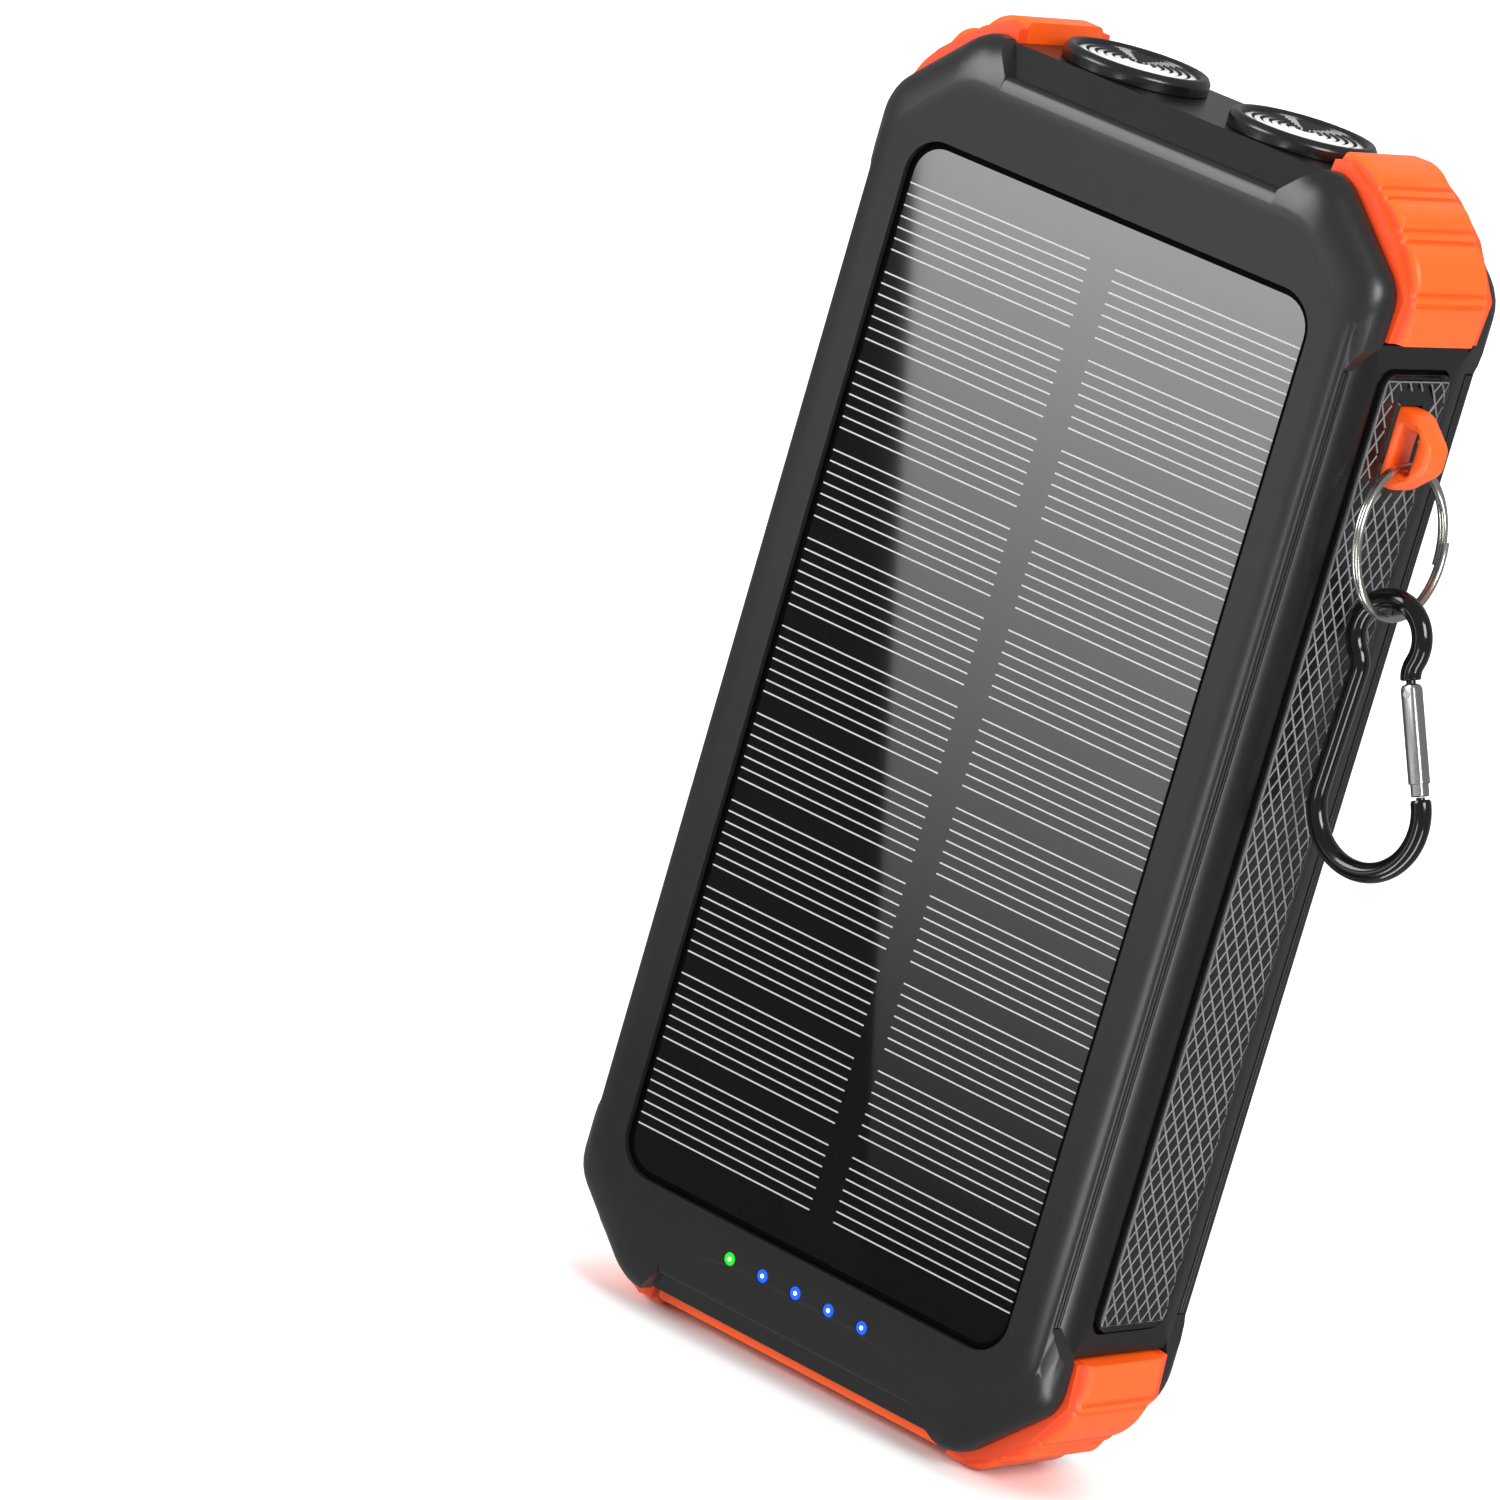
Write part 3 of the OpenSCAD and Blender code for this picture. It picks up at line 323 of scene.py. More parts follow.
@dataclass(frozen=True)
class ClearLens:
    """Moulded acrylic lens painted by the way each face points: pale on its flat steps, painted shade on the
    sloping sides of its prisms.

    Attributes:
        name: The real material's name.
        colour: Tint of the acrylic.
        steep_shade: Painted shade on a prism's sloping side, where it turns the light away.
        clearness: Share of the light that goes straight through its fine prisms.
    """

    name: str = "Moulded_acrylic_lens"
    colour: str = "#f2f5f7"
    steep_shade: str = "#36383a"
    clearness: float = 0.3

    def material(self) -> bpy.types.Material:
        """Makes the material once and returns the same one afterwards."""
        known = bpy.data.materials.get(self.name)
        if known:
            return known
        made = bpy.data.materials.new(self.name)
        made.use_nodes = True
        tree = made.node_tree
        tree.nodes.clear()
        # Painted light and shade: faces pointing up keep the pale tint, sloping ones fade to the painted shade.
        normal = add(tree, "ShaderNodeNewGeometry").outputs["Normal"]
        facing = add(tree, "ShaderNodeSeparateXYZ", {"Vector": normal})
        flat = add(tree, "ShaderNodeMapRange", {"Value": facing.outputs["Z"]}, in_From_Min=0.75,
                   in_From_Max=0.97)
        shade = add(tree, "ShaderNodeValToRGB", {"Fac": flat.outputs["Result"]})
        shade.color_ramp.elements[0].color = linear(self.steep_shade)
        shade.color_ramp.elements[1].color = linear(self.colour)
        shader = add(tree, "ShaderNodeBsdfPrincipled", {"Base Color": shade.outputs["Color"]},
                     in_Roughness=0.05, in_IOR=1.49)
        shader.inputs["Transmission Weight"].default_value = self.clearness
        add(tree, "ShaderNodeOutputMaterial", {"Surface": shader.outputs["BSDF"]})
        return made


# Acrylic moulded in concentric prisms: pale flat steps parted by rings of painted shade on the sloping sides.
LENS = ClearLens()


# ---------------------------------------------------------------- mesh tools


def piece(
    name: str,
    points: Iterable[Point],
    faces: Iterable[Face],
    finish: Finish | Glow | ClearLens,
    body: Body,
    slot: str,
    replaces: Sequence[str] = (),
    smooth: float | None = 40.0,
) -> bpy.types.Object:
    """Builds one object from points in millimetres and puts it on its body.

    Args:
        name: Name of the piece.
        points: Vertices in millimetres, in the row frame.
        faces: Vertex numbers of each face.
        finish: What it is made of.
        body: Body that it rides on.
        slot: Material slot of the record; not used.
        replaces: CAD nodes that it stands for.
        smooth: Edges flatter than this many degrees shade smooth; None leaves all flat.

    Returns:
        The new object.
    """
    mesh = bpy.data.meshes.new(name)
    mesh.from_pydata([(x * MM, y * MM, z * MM) for x, y, z in points], [], [tuple(f) for f in faces])
    tidy = bmesh.new()
    tidy.from_mesh(mesh)
    bmesh.ops.remove_doubles(tidy, verts=tidy.verts, dist=1e-7)
    bmesh.ops.recalc_face_normals(tidy, faces=tidy.faces)
    tidy.to_mesh(mesh)
    tidy.free()
    mesh.materials.append(finish.material())
    if smooth is not None:
        mesh.shade_smooth()
        mesh.set_sharp_from_angle(angle=math.radians(smooth))
    made = bpy.data.objects.new(name, mesh)
    bpy.context.scene.collection.objects.link(made)
    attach(made, body.value)
    if replaces:
        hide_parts(*replaces)
    LOG.info("%s: %d faces", name, len(mesh.polygons))
    return made


def soften(node: bpy.types.Object, width_mm: float, segments: int = 2, angle: float = 34.0) -> None:
    """Rounds the moulded edges of a piece with modifiers, leaving its mesh as it is.

    Args:
        node: Piece or CAD node.
        width_mm: Width of the rounding in millimetres.
        segments: Number of steps across it.
        angle: Only edges sharper than this many degrees are rounded.
    """
    weld = node.modifiers.new("weld", "WELD")
    weld.merge_threshold = 2e-6
    bevel = node.modifiers.new("edge", "BEVEL")
    bevel.width = width_mm * MM
    bevel.segments = segments
    bevel.limit_method = "ANGLE"
    bevel.angle_limit = math.radians(angle)
    bevel.use_clamp_overlap = True
    bevel.harden_normals = False
    normals = node.modifiers.new("normals", "WEIGHTED_NORMAL")
    normals.keep_sharp = False
    normals.weight = 60


def dress(node_name: str, finish: Finish | Glow | ClearLens, edge_mm: float = 0.0, segments: int = 2) -> None:
    """Gives a CAD node its finish, and rounds its edges if asked.

    Args:
        node_name: Name of the CAD node.
        finish: What it is made of.
        edge_mm: Edge rounding in millimetres, or 0 for none.
        segments: Steps across the rounding.
    """
    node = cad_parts[node_name]
    node.data.materials.clear()
    node.data.materials.append(finish.material())
    for polygon in node.data.polygons:
        polygon.material_index = 0
    if edge_mm:
        node.data.shade_smooth()
        soften(node, edge_mm, segments)
    LOG.info("%s dressed in %s", node_name, finish.name)


def ring_faces(rings: int, sides: int, closed: bool = False) -> list[Face]:
    """Quads between successive rings of points.

    Args:
        rings: Number of rings.
        sides: Points in each ring.
        closed: Whether the last ring joins the first.

    Returns:
        The faces as vertex numbers.
    """
    faces: list[Face] = []
    for i in range(rings if closed else rings - 1):
        for k in range(sides):
            a, b = i * sides + k, i * sides + (k + 1) % sides
            c, d = (b + sides) % (rings * sides), (a + sides) % (rings * sides)
            faces.append((a, b, c, d))
    return faces


def tube(path: Sequence[Vector], radius: float | Callable[[float], float], sides: int = 16,
         across: Vector = Vector((0, 1, 0)), closed: bool = False) -> tuple[list[Point], list[Face]]:
    """Round rod along a line of points.

    Args:
        path: Points in millimetres.
        radius: Radius in millimetres, or a function of the share of the way along.
        sides: Sides of the rod.
        across: A direction that is never along the rod.
        closed: Whether the rod joins up with itself.

    Returns:
        Points and faces.
    """
    points: list[Point] = []
    last = len(path) - 1
    for i, spot in enumerate(path):
        before = path[i - 1] if i or closed else path[i]
        after = path[(i + 1) % (last + 1)] if i < last or closed else path[i]
        run = (after - before).normalized()
        side = run.cross(across).normalized()
        up = side.cross(run)
        r = radius(i / last) if callable(radius) else radius
        for k in range(sides):
            a = 2 * math.pi * k / sides
            points.append(tuple(spot + r * (math.cos(a) * side + math.sin(a) * up)))
    faces = ring_faces(last + 1, sides, closed)
    if not closed:
        faces += [tuple(range(sides))[::-1], tuple(range(last * sides, (last + 1) * sides))]
    return points, faces


def lathe(profile: Sequence[tuple[float, float]], centre: Vector, axis: str = "Z", sides: int = 64
          ) -> tuple[list[Point], list[Face]]:
    """Solid of revolution from (radius, height) pairs.

    Args:
        profile: Radius and height of each step, in millimetres.
        centre: Point on the axis.
        axis: "Z" for an upright axis or "Y" for one that points out of the back.
        sides: Sides of the solid.

    Returns:
        Points and faces.
    """
    points: list[Point] = []
    for r, h in profile:
        for k in range(sides):
            a = 2 * math.pi * k / sides
            c, s = r * math.cos(a), r * math.sin(a)
            offset = Vector((c, s, h)) if axis == "Z" else Vector((c, h, -s))
            points.append(tuple(centre + offset))
    faces = ring_faces(len(profile), sides)
    return points, faces


def block(low: Point, high: Point, chamfer: float) -> tuple[list[Point], list[Face]]:
    """Block with chamfered edges all round.

    Args:
        low: Lowest corner in millimetres.
        high: Highest corner.
        chamfer: Width of the chamfer.

    Returns:
        Points and faces.
    """
    cut = bmesh.new()
    bmesh.ops.create_cube(cut, size=1.0)
    size = Vector(high) - Vector(low)
    middle = (Vector(high) + Vector(low)) / 2
    for v in cut.verts:
        v.co = Vector((v.co.x * size.x, v.co.y * size.y, v.co.z * size.z)) + middle
    bmesh.ops.bevel(cut, geom=list(cut.edges), offset=chamfer, segments=3, affect="EDGES", profile=0.5)
    cut.verts.ensure_lookup_table()
    points = [tuple(v.co) for v in cut.verts]
    faces = [tuple(v.index for v in f.verts) for f in cut.faces]
    cut.free()
    return points, faces


def joined(parts: Iterable[tuple[list[Point], list[Face]]]) -> tuple[list[Point], list[Face]]:
    """Puts several point and face lists into one."""
    points: list[Point] = []
    faces: list[Face] = []
    for some_points, some_faces in parts:
        start = len(points)
        points += list(some_points)
        faces += [tuple(i + start for i in f) for f in some_faces]
    return points, faces


def box_mm(node: str) -> tuple[Vector, Vector]:
    """Lowest and highest corner of a CAD node, in millimetres."""
    low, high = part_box(node)
    return low / MM, high / MM


# ---------------------------------------------------------------- camera, light and floor


@dataclass
class Studio:
    """Pale floor, soft light and the camera.

    Attributes:
        eye: Place of the camera in metres.
        right: Direction of the picture's right side.
        up: Direction of the picture's top.
        lens: Focal length in millimetres on a 36 mm sensor.
        ramp: Places along Y, in metres, where the graded reflector starts and reaches its full light.
        ramp_power: How slowly its light rises.
        ramp_light: Its full light.
        strip_light: Light of the strips that draw the edges.
        flag_light: Light left on the black flag.
        card_height: How far the cards lie above the floor, in metres.
        sky: Strength of the sky for soft light.
        mirrored_sky: Strength of the sky in reflections.
    """

    eye: Vector = field(default_factory=lambda: Vector((0.62622, -0.92954, 0.34399)))
    right: Vector = field(default_factory=lambda: Vector((0.742606, 0.612643, 0.270564)))
    up: Vector = field(default_factory=lambda: Vector((-0.356899, 0.020156, 0.933926)))
    lens: float = 222.6
    ramp: tuple[float, float] = (-0.08, -0.78)
    ramp_power: float = 1.15
    ramp_light: float = 4.2
    strip_light: float = 9.0
    flag_light: float = 0.06
    card_height: float = 0.001
    sky: float = 0.6
    mirrored_sky: float = 0.32

    def camera(self) -> None:
        """Makes the camera and sets it as the scene's own."""
        data = bpy.data.cameras.new("Camera")
        data.sensor_width = 36.0
        data.lens = self.lens
        data.clip_start, data.clip_end = 0.05, 20.0
        camera = bpy.data.objects.new("Camera", data)
        bpy.context.scene.collection.objects.link(camera)
        right = self.right.normalized()
        back = right.cross(self.up).normalized()
        up = back.cross(right).normalized()
        camera.matrix_world = Matrix.Translation(self.eye) @ Matrix((right, up, back)).transposed().to_4x4()
        bpy.context.scene.camera = camera

    def lamp(self, name: str, place: Point, size: tuple[float, float], power: float,
             mirrored: bool = True) -> None:
        """Adds one soft rectangular light that faces a point.

        Args:
            name: Name of the light.
            place: Where it stands, in metres.
            size: Its width and height in metres.
            power: Its power in watts.
            mirrored: Whether glossy surfaces show it.
        """
        data = bpy.data.lights.new(name, "AREA")
        data.shape = "RECTANGLE"
        data.size, data.size_y = size
        data.energy = power
        lamp = bpy.data.objects.new(name, data)
        lamp.location = place
        lamp.rotation_mode = "QUATERNION"
        lamp.rotation_quaternion = (Vector((0, 0, 0.085)) - Vector(place)).to_track_quat("-Z", "Y")
        lamp.visible_glossy = mirrored
        bpy.context.scene.collection.objects.link(lamp)

    def floor(self) -> None:
        """Adds the pale floor that the charger stands on, curved up behind it far away."""
        half, rise = 3.0, 2.2
        profile = [(-half, 0.0), (half - 0.9, 0.0)]
        profile += [
            (half - 0.9 + 0.9 * math.sin(a), 0.9 - 0.9 * math.cos(a))
            for a in (math.radians(9 * i) for i in range(1, 11))
        ]
        profile.append((half, rise))
        mesh = bpy.data.meshes.new("Studio_floor")
        turn = Matrix.Rotation(math.radians(33), 3, "Z")
        points = [turn @ Vector((x, y, z - 0.0002)) for y, z in profile for x in (-half, half)]
        faces = [(2 * i, 2 * i + 1, 2 * i + 3, 2 * i + 2) for i in range(len(profile) - 1)]
        mesh.from_pydata([tuple(p) for p in points], [], faces)
        mesh.shade_smooth()
        material = bpy.data.materials.new("Matt_white_paper")
        material.use_nodes = True
        shader = material.node_tree.nodes["Principled BSDF"]
        shader.inputs["Base Color"].default_value = linear("#f4f4f4")
        shader.inputs["Roughness"].default_value = 0.8
        mesh.materials.append(material)
        floor = bpy.data.objects.new("Studio_floor", mesh)
        bpy.context.scene.collection.objects.link(floor)
        floor.visible_glossy = False

    def floor_spot(self, x: float, z: float) -> Point:
        """Point of the floor that the camera sees mirrored in the panel at a given place.

        Args:
            x: Place across the panel in millimetres.
            z: Place up the panel in millimetres.

        Returns:
            The point in metres.
        """
        mirror_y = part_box("solar_glass")[0].y
        eye = Vector((self.eye.x, 2 * mirror_y - self.eye.y, self.eye.z))
        run = Vector((x * MM, mirror_y, z * MM)) - eye
        share = eye.z / -run.z
        return tuple(eye + run * share)

    def card(self, name: str, corners: Sequence[Point],
             glow: Callable[[bpy.types.NodeTree], bpy.types.Node]) -> None:
        """Lays a card on the floor that only glossy surfaces see, as a studio flag or reflector.

        Args:
            name: Name of the card.
            corners: Its corners in metres.
            glow: Makes the card's shader in the given node tree.
        """
        mesh = bpy.data.meshes.new(name)
        mesh.from_pydata([tuple(c) for c in corners], [], [tuple(range(len(corners)))])
        material = bpy.data.materials.new(name)
        material.use_nodes = True
        tree = material.node_tree
        tree.nodes.clear()
        add(tree, "ShaderNodeOutputMaterial", {"Surface": glow(tree).outputs[0]})
        mesh.materials.append(material)
        made = bpy.data.objects.new(name, mesh)
        bpy.context.scene.collection.objects.link(made)
        made.visible_camera = made.visible_diffuse = made.visible_shadow = made.visible_transmission = False

    def cards(self) -> None:
        """Lays the reflectors: a graded one in front of the panel and strips that draw the edges."""

        def graded(tree: bpy.types.NodeTree) -> bpy.types.Node:
            """Light that rises away from the charger."""
            place = add(tree, "ShaderNodeTexCoord").outputs["Object"]
            split = add(tree, "ShaderNodeSeparateXYZ", {"Vector": place})
            ramp = add(tree, "ShaderNodeMapRange", {"Value": split.outputs["Y"]}, in_From_Min=self.ramp[0],
                       in_From_Max=self.ramp[1], in_To_Min=0.02, in_To_Max=1.0)
            power = add(tree, "ShaderNodeMath", {0: ramp.outputs["Result"]}, operation="POWER")
            power.inputs[1].default_value = self.ramp_power
            strength = add(tree, "ShaderNodeMath", {0: power.outputs["Value"]}, operation="MULTIPLY")
            strength.inputs[1].default_value = self.ramp_light
            return add(tree, "ShaderNodeEmission", {"Strength": strength.outputs["Value"]})

        def even(tree: bpy.types.NodeTree) -> bpy.types.Node:
            """Even bright light."""
            return add(tree, "ShaderNodeEmission", in_Strength=self.strip_light)

        def flag(tree: bpy.types.NodeTree) -> bpy.types.Node:
            """Hardly any light."""
            return add(tree, "ShaderNodeEmission", in_Strength=self.flag_light)

        lift = self.card_height
        spots = [self.floor_spot(x, z) for x, z in ((-33, 157), (60, 157), (60, 12), (10, 12))]
        self.card("Graded_reflector", [(x, y, lift) for x, y, _ in spots], graded)
        spots = [self.floor_spot(x, z) for x, z in ((-33, 157), (10, 12), (-60, 12), (-60, 157))]
        self.card("Black_flag", [(x, y, lift) for x, y, _ in spots], flag)
        self.card("Front_strip", [(0.02, -0.10, lift), (0.12, -0.8, lift), (0.22, -0.8, lift),
                                  (0.05, -0.10, lift)], even)
        self.card("Side_strip", [(0.06, -0.03, lift), (0.9, -0.30, lift), (0.9, -0.12, lift),
                                 (0.06, -0.01, lift)], even)

    def build(self) -> None:
        """Makes the camera, the lights, the sky and the floor."""
        self.camera()
        self.lamp("Key_softbox", (-0.75, -1.0, 0.65), (0.7, 0.7), 12)
        self.lamp("Side_softbox", (0.94, -0.35, 0.73), (0.5, 0.5), 9)
        self.lamp("Top_softbox", (0.1, 0.1, 1.3), (1.0, 1.0), 10, False)
        self.lamp("Back_softbox", (-0.4, 1.1, 0.7), (1.0, 0.8), 12, False)
        world = bpy.data.worlds.new("Soft_studio")
        world.use_nodes = True
        background = world.node_tree.nodes["Background"]
        background.inputs["Color"].default_value = linear("#ffffff")
        seen = add(world.node_tree, "ShaderNodeLightPath").outputs["Is Glossy Ray"]
        strength = add(world.node_tree, "ShaderNodeMapRange", {"Value": seen}, in_To_Min=self.sky,
                       in_To_Max=self.mirrored_sky)
        world.node_tree.links.new(strength.outputs["Result"], background.inputs["Strength"])
        bpy.context.scene.world = world
        bpy.context.scene.view_settings.view_transform = "Standard"
        self.floor()
        self.cards()


# ---------------------------------------------------------------- covers, casing and seals


@dataclass
class Shell:
    """Covers, casing, seals, clamp and screws.

    Attributes:
        bead_mm: Radius of each of the two beads along a seal.
        side_reach: Half length of the beads along the sides.
        end_reach: Half length of the beads across the ends.
        head_radius: Radius of a screw head.
        recess_reach: Reach of the arms of its cross recess.
        recess_half: Half width of those arms.
        clamp_xs: Places of the clamp screws across the back.
    """

    bead_mm: float = 0.32
    side_reach: float = 61.8
    end_reach: float = 21.0
    head_radius: float = 2.05
    recess_reach: float = 1.15
    recess_half: float = 0.24
    clamp_xs: tuple[float, ...] = (-18.8, -6.5, 6.5, 18.8)

    def dress(self) -> None:
        """Gives the mouldings their finishes and soft edges."""
        dress("front_frame", COVER_ABS, 0.22, 3)
        dress("rear_cover", COVER_ABS, 0.22, 3)
        # The casing's darker charcoal is painted shade on the unit's sides.
        dress("casing", CASING_ABS, 0.18, 2)
        dress("cable_clamp", COVER_ABS, 0.16, 2)
        dress("front_seal", SEAL)
        dress("rear_seal", SEAL)

    def beads(self) -> None:
        """Adds the two round beads that run along each seal."""
        for side, seal in ((-1, "front_seal"), (1, "rear_seal")):
            low, high = box_mm(seal)
            near = low.y if side < 0 else high.y
            far = high.y if side < 0 else low.y
            runs = []
            for share in (0.24, 0.76):
                y = near + (far - near) * share
                for x in (low.x, high.x):
                    reach = self.side_reach
                    edge = x + math.copysign(0.02, x)
                    middle = (low.z + high.z) / 2
                    path = [Vector((edge, y, middle - reach)), Vector((edge, y, middle + reach))]
                    runs.append(tube(path, self.bead_mm, 10, Vector((1, 0, 0))))
                ends = [high.z] if side > 0 else [low.z, high.z]
                for z in ends:
                    path = [Vector((-self.end_reach, y, z)), Vector((self.end_reach, y, z))]
                    runs.append(tube(path, self.bead_mm, 10, Vector((0, 0, 1))))
            name = "Front_seal_beads" if side < 0 else "Rear_seal_beads"
            piece(name, *joined(runs), SEAL, Body.UNIT, "seal_rubber")

    def screws(self) -> None:
        """Replaces the screws by pan heads with a worn cross recess."""
        for node in ("corner_screws", "clamp_screws"):
            low, high = box_mm(node)
            r = self.head_radius
            zs = sorted({round(low.z + r, 3), round(high.z - r, 3)})
            xs = (low.x + r, high.x - r) if node == "corner_screws" else self.clamp_xs
            spots = [(x, z) for x in xs for z in (zs if node == "corner_screws" else zs[:1])]
            parts = [self.screw(x, high.y, z) for x, z in spots]
            name = node.capitalize()
            piece(name, *joined(parts), NICKEL, Body.UNIT, "screw_steel", [node], 30)

    def screw(self, x: float, top: float, z: float) -> tuple[list[Point], list[Face]]:
        """One screw head: a low dome with a four-armed recess.

        Args:
            x: Place across the back.
            top: How far out the head reaches.
            z: Place up the back.

        Returns:
            Points and faces.
        """
        sides, arm, half, head = 48, self.recess_reach, self.recess_half, self.head_radius
        rings: list[list[Point]] = []

        def star(reach: float, angle: float) -> float:
            """Distance from the middle to the outline of the cross."""
            c, s = abs(math.cos(angle)), abs(math.sin(angle))
            long_way, short_way = max(c, s), min(c, s)
            return min(reach / long_way, half / max(short_way, 1e-6), reach)

        heights = [(head, -1.0, 0), (head, -0.35, 0), (1.85, -0.12, 0), (1.4, -0.02, 0), (arm, 0.0, 1),
                   (arm * 0.92, -0.35, 1), (arm * 0.35, -0.7, 1)]
        for r, h, shaped in heights:
            ring = []
            for k in range(sides):
                a = 2 * math.pi * k / sides
                reach = star(r, a + math.radians(33)) if shaped else r
                ring.append((x + reach * math.cos(a), top + h, z + reach * math.sin(a)))
            rings.append(ring)
        points = [p for ring in rings for p in ring]
        faces = ring_faces(len(rings), sides)
        faces.append(tuple(range((len(rings) - 1) * sides, len(rings) * sides)))
        faces.append(tuple(range(sides))[::-1])
        return points, faces

    def build(self) -> None:
        """Dresses and completes the shell."""
        self.dress()
        self.beads()
        self.screws()


# ---------------------------------------------------------------- rubber parts


@dataclass
class Bumpers:
    """Four corner bumpers: scalloped petals parted by twin grooves, on a flange.

    Attributes:
        knots: Ends of the petals (x, height above the middle), from the side round to the end.
        bulges: How far each petal bulges.
        groove: Depth of a groove.
        crest_y: Half width of the petals.
        flange: How far the flange lies below the petals.
    """

    knots: tuple[tuple[float, float], ...] = (
        (40.5, 66.2), (40.95, 72.1), (36.6, 78.9), (32.0, 82.8), (27.2, 85.45), (24.8, 85.4),
    )
    bulges: tuple[float, ...] = (0.1, 0.48, 0.48, 0.45, 0.0)
    groove: float = 0.42
    crest_y: float = 7.5
    flange: float = 0.95

    def outline(self) -> list[tuple[Vector, Vector, float, float]]:
        """Outer edge as points, outward directions, depth on the petals and bulge."""
        edge: list[tuple[Vector, Vector, float, float]] = []
        count = len(self.knots) - 1
        for i in range(count):
            a, b = Vector(self.knots[i]), Vector(self.knots[i + 1])
            length = (b - a).length
            run = (b - a) / length
            out = Vector((run.y, -run.x))
            start = 0.0 if i == 0 else 1.15
            stop = length if i >= count - 2 else length - 1.15
            steps = 8 if i < count - 1 else 2
            if 0 < i < count - 1:
                edge.append((a + run * 0.42, out, 0.12, 0.0))
                edge.append((a + run * 0.68, out, self.groove, 0.0))
                edge.append((a + run * 0.86, out, self.groove, 0.0))
            for k in range(steps + 1):
                share = k / steps
                rise = 4 * self.bulges[i] * share * (1 - share)
                edge.append((a + run * (start + (stop - start) * share), out, 0.0, rise))
            if i < count - 2:
                edge.append((b - run * 0.86, out, self.groove, 0.0))
                edge.append((b - run * 0.68, out, self.groove, 0.0))
                edge.append((b - run * 0.42, out, 0.12, 0.0))
        return edge

    def bumper(self, node: str) -> None:
        """Builds one bumper over its CAD node.

        Args:
            node: Name of the CAD node.
        """
        low, high = box_mm(node)
        sx = 1 if high.x + low.x > 0 else -1
        up = 1 if low.z > 85 else -1
        edge = self.outline()
        y = self.crest_y
        stations = [(-high.y, 0.0), (-y - 0.55, 0.0), (-y - 0.25, 0.45), (-y, 0.8), (-y + 0.45, 1.0)]
        stations += [(-at, share) for at, share in reversed(stations)]
        inner = [(24.55, 82.1), (28.0, 82.1), (37.5, 72.65), (37.5, 66.0)]
        points: list[Point] = []
        for at, share in stations:
            for spot, out, depth, rise in edge:
                level = share * (rise - depth) - (1 - share) * self.flange
                place = spot + out * level
                points.append((sx * place.x, at, 85.5 + up * place.y))
            points += [(sx * x, at, 85.5 + up * w) for x, w in inner]
        sides = len(edge) + len(inner)
        faces = ring_faces(len(stations), sides)
        faces += [tuple(range(sides))[::-1], tuple(range((len(stations) - 1) * sides, len(stations) * sides))]
        made = piece(node.capitalize(), points, faces, ORANGE_TPU, Body.UNIT, "orange_tpu", [node], 24)
        # The flanges take the deeper orange as painted shade where the bumper sinks against the casing.
        made.data.materials.append(ORANGE_EDGE.material())
        for polygon in made.data.polygons:
            if abs(polygon.center.y / MM) > self.crest_y + 0.3:
                polygon.material_index = 1

    def loop(self) -> None:
        """Builds the lanyard loop as a rounded eyelet that stands out of the grip."""
        low, high = box_mm("lanyard_loop")
        middle = Vector((41.45, (low.z + high.z) / 2))
        half = (high.z - low.z) / 2
        outer = [(37.6, -half), (41.5, -half), (high.x, 3.4 - half), (high.x, half - 3.4), (41.5, half),
                 (37.6, half)]
        inner = [(40.1, -2.7), (42.8, -2.7), (42.8, 2.7), (40.1, 2.7)]

        def reach(corners: Sequence[tuple[float, float]], angle: float, ease: float) -> float:
            """Distance from the middle to an eased polygon at an angle."""
            ray = Vector((math.cos(angle), math.sin(angle)))
            best = 0.0
            for k, corner in enumerate(corners):
                a = Vector(corner) - Vector((middle.x, 0))
                b = Vector(corners[(k + 1) % len(corners)]) - Vector((middle.x, 0))
                normal = Vector((b.y - a.y, a.x - b.x)).normalized()
                facing = ray.dot(normal)
                if facing > 1e-6:
                    best += (facing / a.dot(normal)) ** ease
            return best ** (-1 / ease)

        sides, rings = 72, []
        for y, inset in ((-2.2, 0.75), (-2.1, 0.35), (-1.85, 0.12), (-1.5, 0.0), (1.5, 0.0), (1.85, 0.12),
                         (2.1, 0.35), (2.2, 0.75)):
            for corners, ease, sign in ((outer, 16, -1), (inner, 9, 1)):
                ring = []
                for k in range(sides):
                    a = 2 * math.pi * k / sides
                    r = reach(corners, a, ease) + sign * inset
                    ring.append((middle.x + r * math.cos(a), y, middle.y + r * math.sin(a)))
                rings.append(ring)
        points = [p for ring in rings for p in ring]
        faces: list[Face] = []
        last = len(rings) - 2
        for start in range(0, last, 2):
            for k in range(sides):
                j = (k + 1) % sides
                for layer in (start, start + 1):
                    near, far = layer * sides, (layer + 2) * sides
                    faces.append((near + k, near + j, far + j, far + k))
        for start in (0, last):
            for k in range(sides):
                j = (k + 1) % sides
                near, far = start * sides, (start + 1) * sides
                faces.append((near + k, near + j, far + j, far + k))
        piece("Loop_eyelet", points, faces, ORANGE_TPU, Body.UNIT, "orange_tpu", ["lanyard_loop"], 50)

    def build(self) -> None:
        """Builds all four bumpers."""
        for end in ("top", "bottom"):
            for side in ("left", "right"):
                self.bumper(f"bumper_{end}_{side}")
        dress("port_cover", ORANGE_TPU, 0.2, 3)
        self.loop()


